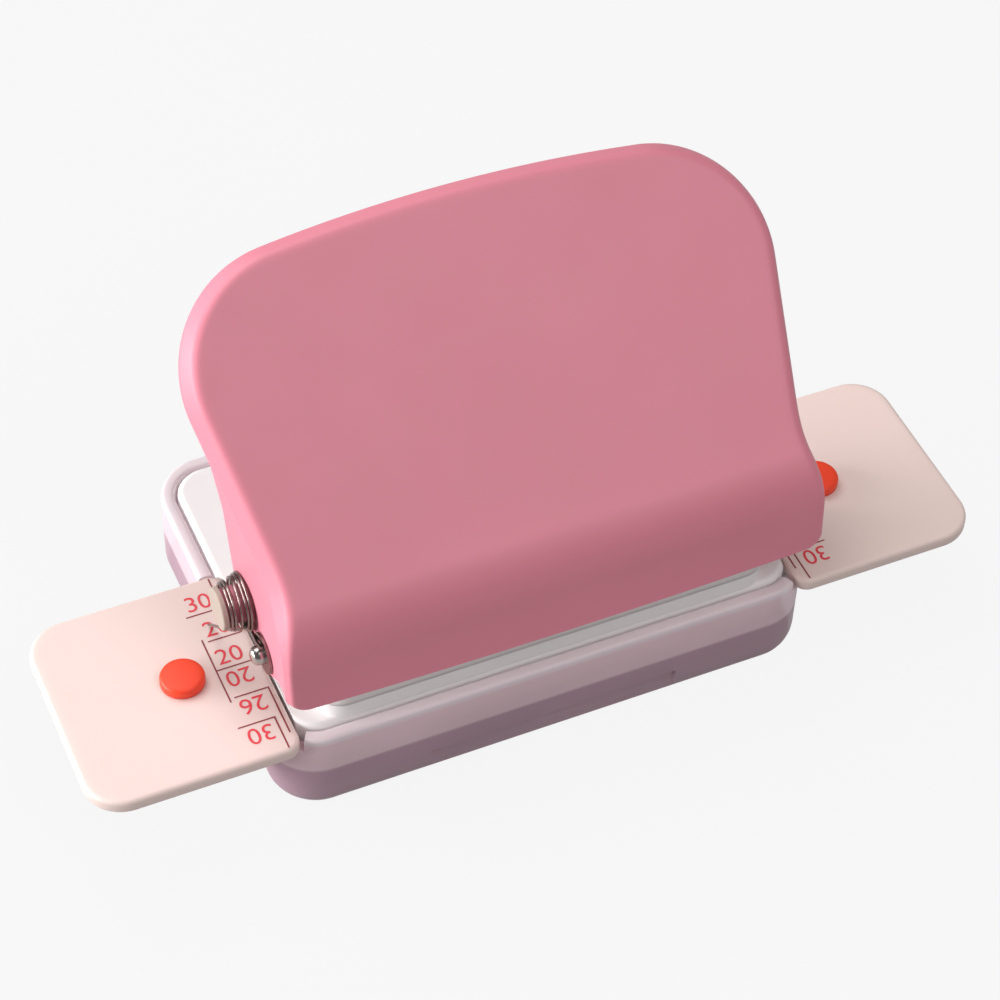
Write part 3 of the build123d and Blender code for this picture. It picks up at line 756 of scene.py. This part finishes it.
class PUNCH_OT_tray(bpy.types.Operator):
    """Makes the milky chip tray and finishes the white frame and head"""

    bl_idname = "punch.tray"
    bl_label = "Tray and frame"

    # Seats under the frame's skirt, and the finger grip between the two front ones
    tab_inset = 16.3
    tab_width = 5.4
    tab_depth = 2.0
    tab_corner = 0.4
    tab_bevel = 0.3
    tab_gap = 0.02
    grip_dent = 0.5
    grip_height = 5.2
    grip_bevel = 0.15
    # Rim: its rounding, the play round a wing, and the notch under an arm of the frame
    lip = 0.55
    wing_play = 0.3
    arm_half = 6.3
    arm_drop = 1.9
    # Heights between which the finish changes: painted shade below the skirt's foot, more cover over the floor,
    # painted light below the rim
    skirt_shade_fade = (7.9, 8.6)
    floor_fade = (2.6, 1.8)
    lit_rim_fade = (1.4, 0.5)

    def execute(self, context):
        settings = context.scene.punch.tray
        centre, normal, radius = self.outline(settings)
        top = self.rim_height(centre + normal * radius[:, None])
        grip = (np.abs(centre[:, 0]) < self.tab_inset) & (centre[:, 1] < 0)
        rings = []
        for inset, z, share, dent in self.rows(settings):
            flat = centre + normal * (radius[:, None] - inset)
            flat[:, 1] += dent * grip
            rings.append(np.column_stack([flat, share * top + z]))
        grids = [(np.stack(rings), True), *((tab, True) for tab in self.tabs(settings))]
        tray = put_mesh("tray", grids, [rings[0], rings[-1]], sharp=50.0)
        paint(tray, self.milky_finish(settings))
        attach(tray, "tray")
        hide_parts("chip_tray")
        white = moulded_finish("satin_white", settings.frame_tint, 0.45, 0.02, 0.6)
        for node in ("base_frame", "paper_stop"):
            dress_node(node, white)
        # Painted shade: the head gets a darker off-white than the frame, for the shade under the apron.
        dress_node("head_housing", moulded_finish("off_white_painted_shade", settings.shaded_head_tint, 0.5, 0.02, 0.6, 0.0012))
        return {"FINISHED"}

    def outline(self, settings):
        """Tray outline: four quarter turns, each with the straight side that follows it, and with
        points doubled where the rim steps down for wing and arm and where the grip ends."""
        straight = (TRAY_HIGH[:2] - TRAY_LOW[:2]) / 2 - settings.corner
        wing_turn = math.acos((WING_LOW[0] - self.wing_play - straight[0]) / settings.corner)
        wing_turns = np.array([wing_turn, np.pi / 2 - wing_turn])
        turn = self.doubled(np.linspace(0, np.pi / 2, 22), wing_turns, 0.002)
        steps_y = np.array([WING_HIGH[1] + self.wing_play, ROW_Y + self.arm_half, ROW_Y - self.arm_half])
        side_y = self.doubled(np.linspace(-straight[1], straight[1], 12), steps_y, 0.01)
        grip_x = np.array([-self.tab_inset, self.tab_inset])
        side_x = self.doubled(np.linspace(-straight[0], straight[0], 24), grip_x, 0.1)
        right = np.column_stack([np.full(len(side_y), straight[0]), side_y])
        left = (right * (-1, 1))[::-1]
        back = np.column_stack([-side_x, np.full(len(side_x), straight[1])])
        arc = np.stack([np.cos(turn), np.sin(turn)], -1)
        out = np.array([0.0, 1.0])
        spin = np.array([[0.0, -1.0], [1.0, 0.0]])
        centres, normals = [], []
        for sign, line in (((1, 1), back), ((-1, 1), left), ((-1, -1), -back), ((1, -1), right)):
            centres += [np.tile(straight * sign, (len(arc), 1)), line]
            normals += [arc, np.tile(out, (len(line), 1))]
            arc, out = arc @ spin.T, spin @ out
        centre = np.concatenate(centres)
        return centre, np.concatenate(normals), np.full(len(centre), settings.corner)

    def doubled(self, line, steps, gap):
        """The line's values with two more round each step, gap before and behind it."""
        return np.sort(np.concatenate([line, steps - gap, steps + gap]))

    def rim_height(self, place):
        """Height of the rim: full, lower under a wing, lowest under a frame arm."""
        x, y = np.abs(place[:, 0]), place[:, 1]
        beside = x > WING_LOW[0] - self.wing_play
        under_wing = beside & (y < WING_HIGH[1] + self.wing_play)
        under_arm = beside & (np.abs(y - ROW_Y) < self.arm_half)
        height = np.where(under_wing, WING_LOW[2] - self.wing_play, TRAY_HIGH[2])
        return np.where(under_arm, WING_LOW[2] - self.arm_drop, height)

    def rows(self, settings):
        """(inset, z, share, dent) rings from the flat foot over the rim to the flat floor. With share 1,
        z counts from the rim, and dent is the depth of the finger grip at the front."""
        rise, drop = quarter(10)
        foot = settings.foot_round * (1 - rise)
        dents = np.clip(self.grip_dent - foot, 0, None)
        rows = [(inset, settings.foot_round * c, 0, dent) for inset, c, dent in zip(foot, drop, dents)]
        rows.append((0.0, self.grip_height - self.grip_bevel, 0, self.grip_dent))
        rows.append((0.0, self.grip_height + self.grip_bevel, 0, 0.0))
        rise, drop = quarter(6)
        lip = [(self.lip * c, -self.lip * (1 - s)) for s, c in zip(rise, drop)]
        rows += [(inset, z, 1, 0.0) for inset, z in lip]
        rows += [(settings.wall - inset, z, 1, 0.0) for inset, z in lip[::-1]]
        inner = settings.foot_round - settings.wall
        rise, drop = quarter(8)
        rows += [
            (settings.wall + inner * (1 - s), settings.floor + inner * c, 0, 0.0)
            for s, c in zip(rise[::-1], drop[::-1])
        ]
        return rows

    def tabs(self, settings):
        """Four small blocks on the long walls that carry the frame's skirt,
        each a rounded rectangle drawn upwards."""
        top = FRAME_FOOT - self.tab_gap
        wall = TRAY_HIGH[1] - settings.wall
        rows = [
            (None, settings.foot_round),
            (0.0, settings.foot_round),
            (0.0, FRAME_FOOT - self.tab_bevel),
            (self.tab_bevel, top),
            (None, top),
        ]
        corners = np.full(4, self.tab_corner)
        blocks = []
        for x in (-1, 1):
            for y in (-1, 1):
                ends_x = np.sort([x * self.tab_inset, x * (self.tab_inset + self.tab_width)])
                ends_y = np.sort([y * (wall - self.tab_depth), y * (wall + settings.wall / 2)])
                low, high = np.stack([ends_x, ends_y], -1)
                blocks.append(plate_grid(rounded_outline(low, high, corners, 5), rows))
        return blocks

    def milky_finish(self, settings):
        """Translucent plastic: milky tint with clouds, satin outside, what lies behind showing through, with
        painted shade below the frame's skirt and painted light on the rim.
        """
        finish = Finish("milky_lavender")
        cloud = finish.noise(70.0, 2.0)
        height = finish.node("ShaderNodeSeparateXYZ", None, {0: finish.place()}, "Z")
        # Painted shade: below the skirt's foot the tint turns deeper.
        skirt = finish.ramp(height, *(z * MM for z in self.skirt_shade_fade))
        floor = finish.ramp(height, *(z * MM for z in self.floor_fade))
        low = finish.mix(cloud, tone(settings.shaded_low_tint, 0.94), tone(settings.shaded_low_tint, 1.06))
        high = finish.mix(cloud, tone(settings.tint, 0.95), tone(settings.tint, 1.05))
        # Painted light: the tint pales towards the rim's top.
        rim = finish.ramp(height, *((TRAY_HIGH[2] - drop) * MM for drop in self.lit_rim_fade))
        base = finish.mix(rim, finish.mix(skirt, low, high), tone(settings.lit_rim_tint, 1.0))
        gloss = 0.3 + 0.16 * finish.noise(220.0, 3.0)
        cover = settings.cover - 0.04 + 0.08 * cloud + 0.24 * floor
        normal = finish.bump(finish.noise(2600.0, 2.0), 0.00002, 0.3)
        return finish.surface(Base_Color=base, Roughness=gloss, Alpha=cover, Normal=normal)


# Gauge wings


class PUNCH_OT_wings(bpy.types.Operator):
    """Makes the two gauge wings with their red print and index pegs"""

    bl_idname = "punch.wings"
    bl_label = "Wings and pegs"

    # Flat margin inside a wing's rounded edge, and the peg's shank, soft edge, dome and bevels
    margin = 0.8
    shank = 1.5
    peg_soft = 0.55
    peg_dome = 0.08
    shank_bevel = 0.1
    peg_bevel = 0.12
    # Gauge lines from (x, y) to (x, y), with y from the row of punches; a half's lines lie on both its sides
    whole_lines = ((38.5, -5.08, 38.5, 5.08), (34.0, 0.0, 38.5, 0.0))
    half_lines = (
        (33.6, 4.65, 37.8, 4.65),
        (33.6, 4.65, 33.6, 11.9),
        (34.5, 9.16, 39.0, 9.16),
        (34.5, 9.16, 34.5, 14.0),
    )
    film = 0.004
    # Numbers of holes, with the x and y of their middles
    half_numbers = (("20", 36.2, 1.85), ("26", 36.15, 6.5), ("30", 36.9, 11.0))

    def execute(self, context):
        settings = context.scene.punch.wing
        cream = moulded_finish("satin_cream", settings.tint, 0.5, 0.02, 0.6)
        ink = self.ink_finish("number_ink", settings.ink)
        line_ink = self.ink_finish("line_ink", settings.line_ink)
        red = moulded_finish("peg_red", settings.peg_tint, 0.42, 0.05, 0.5, Specular_IOR_Level=0.3)
        for name, turn in (("right", 1), ("left", -1)):
            wing = put_mesh(f"{name}_gauge", [(self.turned(self.plate(settings), turn), True)])
            paint(wing, cream)
            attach(wing, "base")
            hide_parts(f"{name}_wing")
            stud = put_mesh(f"{name}_stud", [(self.turned(self.stud(), turn), True)], sharp=60.0)
            paint(stud, red)
            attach(stud, "base")
            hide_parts(f"{name}_peg")
            for marks, tint in (
                (self.rules(f"{name}_rules", settings, turn), line_ink),
                (self.numbers(f"{name}_numbers", settings, turn), ink),
            ):
                face_up(marks.data)
                paint(marks, tint)
                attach(marks, "base")
        return {"FINISHED"}

    def turned(self, grid, turn):
        """The grid itself, or turned half a turn about the middle of the punch row."""
        moved = grid.copy()
        moved[..., 0] *= turn
        moved[..., 1] = ROW_Y + turn * (grid[..., 1] - ROW_Y)
        return moved

    def plate(self, settings):
        """Wing: rounded outline carried round a soft lower and upper edge."""
        corners = (settings.outer_corner, settings.inner_corner, settings.inner_corner, settings.outer_corner)
        outline = rounded_outline(WING_LOW[:2], WING_HIGH[:2], corners)
        low, high = WING_LOW[2], WING_HIGH[2]
        edge = settings.edge_round
        rise, drop = quarter(7)
        rows = [(None, low), (edge + self.margin, low)]
        rows += [(edge * (1 - s), low + edge * c) for s, c in zip(rise, drop)]
        rows += [(edge * c, high - edge * (1 - s)) for s, c in zip(rise, drop)]
        rows += [(edge + self.margin, high), (None, high)]
        return plate_grid(outline, rows)

    def stud(self):
        """Peg: turned head with a soft edge and a faint dome, on its shank through the wing."""
        radius = (PEG_HIGH[0] - PEG_LOW[0]) / 2
        centre = (PEG_LOW[:2] + PEG_HIGH[:2]) / 2
        low, seat, top = PEG_LOW[2], BED + 0.01, PEG_HIGH[2]
        soft, shoulder = self.peg_soft, top - self.peg_dome
        rise, drop = quarter(7)
        profile = [(0.0, low), (self.shank - self.shank_bevel, low)]
        profile += [(self.shank, low + self.shank_bevel), (self.shank, seat)]
        profile += [(radius - self.peg_bevel, seat), (radius, BED + self.peg_bevel)]
        profile += [(radius - soft * c, shoulder - soft * (1 - s)) for s, c in zip(rise, drop)]
        profile += [(radius / 2, top - self.peg_dome / 4), (0.0, top)]
        return lathe_z(np.array(profile), centre, 96)

    def rules(self, name, settings, turn):
        """Gauge lines as a film of ink on the wing's top, a thin rectangle for each line, alike on both halves.
        Each rectangle lies a trace higher than the one before, so that none share a plane."""
        half = np.array(self.half_lines)
        ends = np.concatenate([self.whole_lines, half * (1, -1, 1, -1), half]).reshape(-1, 2, 2)
        wide = settings.line_width / 2
        span = np.stack([ends.min(1) - wide, ends.max(1) + wide], 1)
        shape = (len(span), 2, 2)
        x = np.broadcast_to(span[:, None, :, 0], shape)
        y = np.broadcast_to(span[:, :, None, 1], shape) + ROW_Y
        z = np.broadcast_to(np.linspace(INK, INK + self.film, len(span))[:, None, None], shape)
        return put_mesh(name, [(self.turned(flat, turn), False) for flat in np.stack([x, y, z], -1)])

    def numbers(self, name, settings, turn):
        """Numbers as a film of ink on the wing's top, each half's for its own end."""
        pieces = []
        for sign in (-1, 1):
            for words, x, y in self.half_numbers:
                pieces.append(self.digits(words, settings.digit_height, (x, sign * y), sign, turn))
        return join_meshes(name, pieces)

    def digits(self, words, height, place, sign, turn):
        """Numbers as a flat mesh, upright on the back half and turned round on the front half."""
        curve = bpy.data.curves.new("digits", "FONT")
        curve.body = words
        curve.size = 1.0
        curve.align_x = "CENTER"
        curve.align_y = "CENTER"
        curve.resolution_u = 6
        text = bpy.data.objects.new("digits", curve)
        bpy.context.scene.collection.objects.link(text)
        mesh = bpy.data.meshes.new_from_object(text.evaluated_get(bpy.context.evaluated_depsgraph_get()))
        bpy.data.objects.remove(text)
        flat = np.zeros(len(mesh.vertices) * 3, np.float32)
        mesh.vertices.foreach_get("co", flat)
        flat = flat.reshape(-1, 3)
        size = height / (flat[:, 1].max() - flat[:, 1].min())
        middle = (flat.max(0) + flat.min(0)) / 2
        flat = (flat - middle) * size * (sign * turn)
        x = turn * place[0] + flat[:, 0]
        y = ROW_Y + turn * place[1] + flat[:, 1]
        points = np.column_stack([x, y, np.full(len(flat), INK)]) * MM
        mesh.vertices.foreach_set("co", points.astype(np.float32).ravel())
        piece = bpy.data.objects.new("digits", mesh)
        bpy.context.scene.collection.objects.link(piece)
        return piece

    def ink_finish(self, name, tint):
        """Printed ink: slightly uneven cover."""
        finish = Finish(name)
        wear = finish.noise(2400.0, 3.0)
        base = finish.mix(wear, tone(tint, 0.85), tone(tint, 1.25))
        return finish.surface(Base_Color=base, Roughness=0.5 + 0.1 * wear)


def face_up(mesh):
    """Turns every face of a flat film upwards."""
    film = bmesh.new()
    film.from_mesh(mesh)
    down = [face for face in film.faces if face.normal.z < 0]
    bmesh.ops.reverse_faces(film, faces=down)
    film.to_mesh(mesh)
    film.free()


# Springs and pins


class PUNCH_OT_springs(bpy.types.Operator):
    """Makes the torsion springs and finishes the steel parts"""

    bl_idname = "punch.springs"
    bl_label = "Springs and steel"

    # Gaps between the wire and the cheek or pin, the cap and the wing
    wire_gap = 0.06
    cap_gap = 0.15
    wing_gap = 0.05
    # Degrees at which the leg leaves the coil, the hook's reach past the pin, and the foot of the coil
    # from the drive pin as (y, z)
    leg_turn = 225
    hook_past = 1.4
    coil_foot = (1.2, -4.6)
    # The turns lie close, apart from one opening: its place along the coil and how suddenly it opens
    close = 1.02
    opening = 0.56
    opening_pace = 11
    steel_tint = (0.56, 0.56, 0.58)

    def execute(self, context):
        settings = context.scene.punch.spring
        # The wire's finish is darkened and browned as painted reflection of the coil's surroundings; the pivot
        # washers share it.
        drawn = bright_finish("drawn_wire_painted_reflection", settings.tint, 0.16)
        for name, side in (("left", -1), ("right", 1)):
            wire, leg = self.wire(settings)
            wire[..., 0] *= side
            spring = put_mesh(f"{name}_coil", [(wire, True)], sharp=80.0)
            paint(spring, drawn)
            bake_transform(spring)
            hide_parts(f"{name}_spring")
        dress_node("pivot_pin", bright_finish("bright_pin", settings.pin_tint, 0.14))
        for node in ("left_pivot_washer", "right_pivot_washer"):
            dress_node(node, drawn)
        nylon = moulded_finish("natural_nylon", settings.cap_tint, 0.55, 0.03, 0.6, Specular_IOR_Level=0.3)
        for node in ("left_spring_cap", "right_spring_cap"):
            dress_node(node, nylon)
        steel = brushed_finish("ground_steel", self.steel_tint, 0.3)
        for node in ("die_plate", "punch_guide", "drive_pin", "head_screws", "wing_screws"):
            dress_node(node, steel)
        for number in range(1, 7):
            dress_node(f"punch_{number}", steel)
        return {"FINISHED"}

    def wire(self, settings):
        """Tube round a path: a straight hook over the pivot pin, a helix about the drive pin,
        a straight leg to the wing. The tube's ring lies in the plane of the helix's radius
        and the wire's binormal. Gives the tube and the leg's end."""
        radius = settings.coil_radius
        arm = DRIVE - PIVOT
        reach = float(np.hypot(*arm))
        near = PIN_RADIUS + settings.wire / 2 + self.wire_gap
        first = math.atan2(arm[1], arm[0]) + 1.5 * math.pi - math.asin((radius + near) / reach)
        last = math.radians(self.leg_turn + 360 * settings.turns)
        x0 = CHEEK + self.wire_gap + settings.wire / 2
        past_washer = WASHER_HIGH[0] - CHEEK
        x1 = CAP_START - self.cap_gap - settings.wire / 2
        share = np.linspace(0, 1, 60 * settings.turns)
        angle = first + (last - first) * share
        slack = (x1 - x0) - (settings.turns - 0.05) * settings.wire * self.close
        gap = 0.5 + 0.5 * np.tanh((share - self.opening) * self.opening_pace)
        x = x0 + (x1 - x0 - slack) * share + slack * (gap - gap[0]) / (gap[-1] - gap[0])
        radial = np.stack([np.zeros_like(angle), np.cos(angle), np.sin(angle)], -1)
        reach_out = (radius - settings.coil_taper * share)[:, None] * radial
        coil = np.column_stack([x, DRIVE[0] + reach_out[:, 1], DRIVE[1] + reach_out[:, 2]])
        tangent = np.gradient(coil, axis=0)
        tangent /= np.linalg.norm(tangent, axis=1)[:, None]
        tangent[0] = (0.0, -math.sin(first), math.cos(first))
        tangent[-1] = (0.0, -math.sin(last), math.cos(last))
        hook_length = math.sqrt(reach**2 - (radius + near) ** 2) + self.hook_past
        leg_length = (BED + settings.wire / 2 + self.wing_gap - coil[-1, 2]) / tangent[-1, 2]
        hook = coil[0] - tangent[0] * np.linspace(hook_length, 0, 16)[:-1, None]
        hook[:, 0] += past_washer * np.clip(np.linspace(1.5, 0, 16)[:-1], 0, 1)
        leg = coil[-1] + tangent[-1] * np.linspace(0, leg_length, 30)[1:, None]
        path = np.concatenate([hook, coil, leg])
        ends = ((len(hook), len(leg)), (0, 0))
        out = np.pad(radial, ends, "edge")
        beside = np.cross(np.pad(tangent, ends, "edge"), out)
        beside /= np.linalg.norm(beside, axis=1)[:, None]
        turn = np.linspace(0, 2 * np.pi, 14, endpoint=False)[:, None]
        ring = np.cos(turn) * out[:, None, :] + np.sin(turn) * beside[:, None, :]
        tube = path[:, None, :] + settings.wire / 2 * ring
        first_cap = np.repeat(path[:1, None, :], len(turn), 1)
        last_cap = np.repeat(path[-1:, None, :], len(turn), 1)
        return np.concatenate([first_cap, tube, last_cap]), path[-1]


# Stage


class PUNCH_OT_stage(bpy.types.Operator):
    """Makes the floor, the lights, the world and the camera"""

    bl_idname = "punch.stage"
    bl_label = "Stage"

    # Point in metres that the lamps face
    middle = (0.0, 0.0, 0.03)

    def execute(self, context):
        scene = context.scene
        settings = scene.punch.stage
        scene.view_settings.view_transform = "Standard"
        span = np.linspace(-1500.0, 1500.0, 2)
        x, y = np.meshgrid(span, span)
        floor = put_mesh("floor", [(np.stack([x, y, np.full_like(x, -0.05)], -1), False)])
        face_up(floor.data)
        paint(floor, self.floor_finish())
        self.set_world(scene, settings)
        self.area_light("key", settings.key_power, (0.6, 0.16), (-0.67, 0.152, 0.167))
        self.area_light("fill", settings.fill_power, (0.5, 0.5), (-0.14, 0.315, 0.61))
        self.area_light("front", settings.front_power, (0.35, 0.35), (0.1, -0.32, 0.55))
        self.area_light("sheen", settings.sheen_power, (0.35, 0.35), (0.2, -0.43, 0.43))
        self.set_camera(scene, settings)
        return {"FINISHED"}

    def floor_finish(self):
        """Pale paper, seen as white by the camera and by mirrors, with the object's shadow kept."""
        finish = Finish("pale_floor")
        fibre = finish.noise(30.0, 2.0)
        base = finish.mix(fibre, (0.33, 0.33, 0.33, 1.0), (0.36, 0.36, 0.36, 1.0))
        matt = {"Base Color": base, "Roughness": 0.9, "Specular IOR Level": 0.1}
        paper = finish.node("ShaderNodeBsdfPrincipled", None, matt)
        glow = finish.node("ShaderNodeEmission", None, {"Color": (1.0, 1.0, 1.0, 1.0), "Strength": 1.0})
        seen = finish.node("ShaderNodeLightPath", None, None, "Is Camera Ray")
        mirrored = finish.node("ShaderNodeLightPath", None, None, "Is Glossy Ray")
        through = finish.node("ShaderNodeLightPath", None, None, "Is Transmission Ray")
        share = 0.89 * (seen + through) + 0.45 * mirrored
        both = finish.node("ShaderNodeMixShader", None, {0: share, 1: paper, 2: glow})
        finish.node("ShaderNodeOutputMaterial", None, {"Surface": both})
        return finish.material

    def set_world(self, scene, settings):
        """Even light, with a white background for the camera."""
        world = bpy.data.worlds.new("studio")
        world.use_nodes = True
        tree = world.node_tree
        tree.nodes.clear()
        even = tree.nodes.new("ShaderNodeBackground")
        even.inputs["Color"].default_value = (1.0, 0.98, 0.97, 1.0)
        even.inputs["Strength"].default_value = settings.world_light
        white = tree.nodes.new("ShaderNodeBackground")
        white.inputs["Color"].default_value = (1.0, 1.0, 1.0, 1.0)
        path = tree.nodes.new("ShaderNodeLightPath")
        mix = tree.nodes.new("ShaderNodeMixShader")
        out = tree.nodes.new("ShaderNodeOutputWorld")
        tree.links.new(path.outputs["Is Camera Ray"], mix.inputs[0])
        tree.links.new(even.outputs[0], mix.inputs[1])
        tree.links.new(white.outputs[0], mix.inputs[2])
        tree.links.new(mix.outputs[0], out.inputs["Surface"])
        scene.world = world

    def area_light(self, name, power, size, place):
        """Soft rectangular light that faces the punch."""
        lamp = bpy.data.lights.new(name, "AREA")
        lamp.energy = power
        lamp.shape = "RECTANGLE"
        lamp.size, lamp.size_y = size
        holder = bpy.data.objects.new(name, lamp)
        bpy.context.scene.collection.objects.link(holder)
        aim = Vector(place) - Vector(self.middle)
        holder.matrix_world = Matrix.Translation(place) @ aim.to_track_quat("Z", "Y").to_matrix().to_4x4()

    def set_camera(self, scene, settings):
        """Camera at the photograph's viewing angle."""
        data = bpy.data.cameras.new("camera")
        data.sensor_width = 36.0
        data.lens = settings.lens
        data.clip_start, data.clip_end = 0.01, 20.0
        camera = bpy.data.objects.new("camera", data)
        scene.collection.objects.link(camera)
        right = (0.91637, -0.39959, 0.02438)
        up = (0.28066, 0.68468, 0.67263)
        back = (-0.28547, -0.60953, 0.73958)
        place = (-0.10111, -0.22201, 0.28697)
        camera.matrix_world = Matrix([*zip(right, up, back, place), (0, 0, 0, 1)])
        scene.camera = camera


class PUNCH_PT_panel(bpy.types.Panel):
    """Lists the punch's builders and its sizes and colours"""

    bl_label = "Hole punch"
    bl_idname = "PUNCH_PT_panel"
    bl_space_type = "VIEW_3D"
    bl_region_type = "UI"
    bl_category = "Hole punch"

    def draw(self, context):
        settings = context.scene.punch
        for operator, group in (
            ("punch.handle", settings.handle),
            ("punch.tray", settings.tray),
            ("punch.wings", settings.wing),
            ("punch.springs", settings.spring),
            ("punch.stage", settings.stage),
        ):
            box = self.layout.box()
            box.operator(operator)
            for key in group.__annotations__:
                box.prop(group, key)


CLASSES = (
    HandleSettings,
    TraySettings,
    WingSettings,
    SpringSettings,
    StageSettings,
    PunchSettings,
    PUNCH_OT_handle,
    PUNCH_OT_tray,
    PUNCH_OT_wings,
    PUNCH_OT_springs,
    PUNCH_OT_stage,
    PUNCH_PT_panel,
)


def register():
    for cls in CLASSES:
        bpy.utils.register_class(cls)
    bpy.types.Scene.punch = PointerProperty(type=PunchSettings)


def unregister():
    del bpy.types.Scene.punch
    for cls in reversed(CLASSES):
        bpy.utils.unregister_class(cls)


def main():
    """Builds every piece in order."""
    register()
    bpy.ops.punch.handle()
    bpy.ops.punch.tray()
    bpy.ops.punch.wings()
    bpy.ops.punch.springs()
    bpy.ops.punch.stage()


if __name__ == "__main__":
    main()
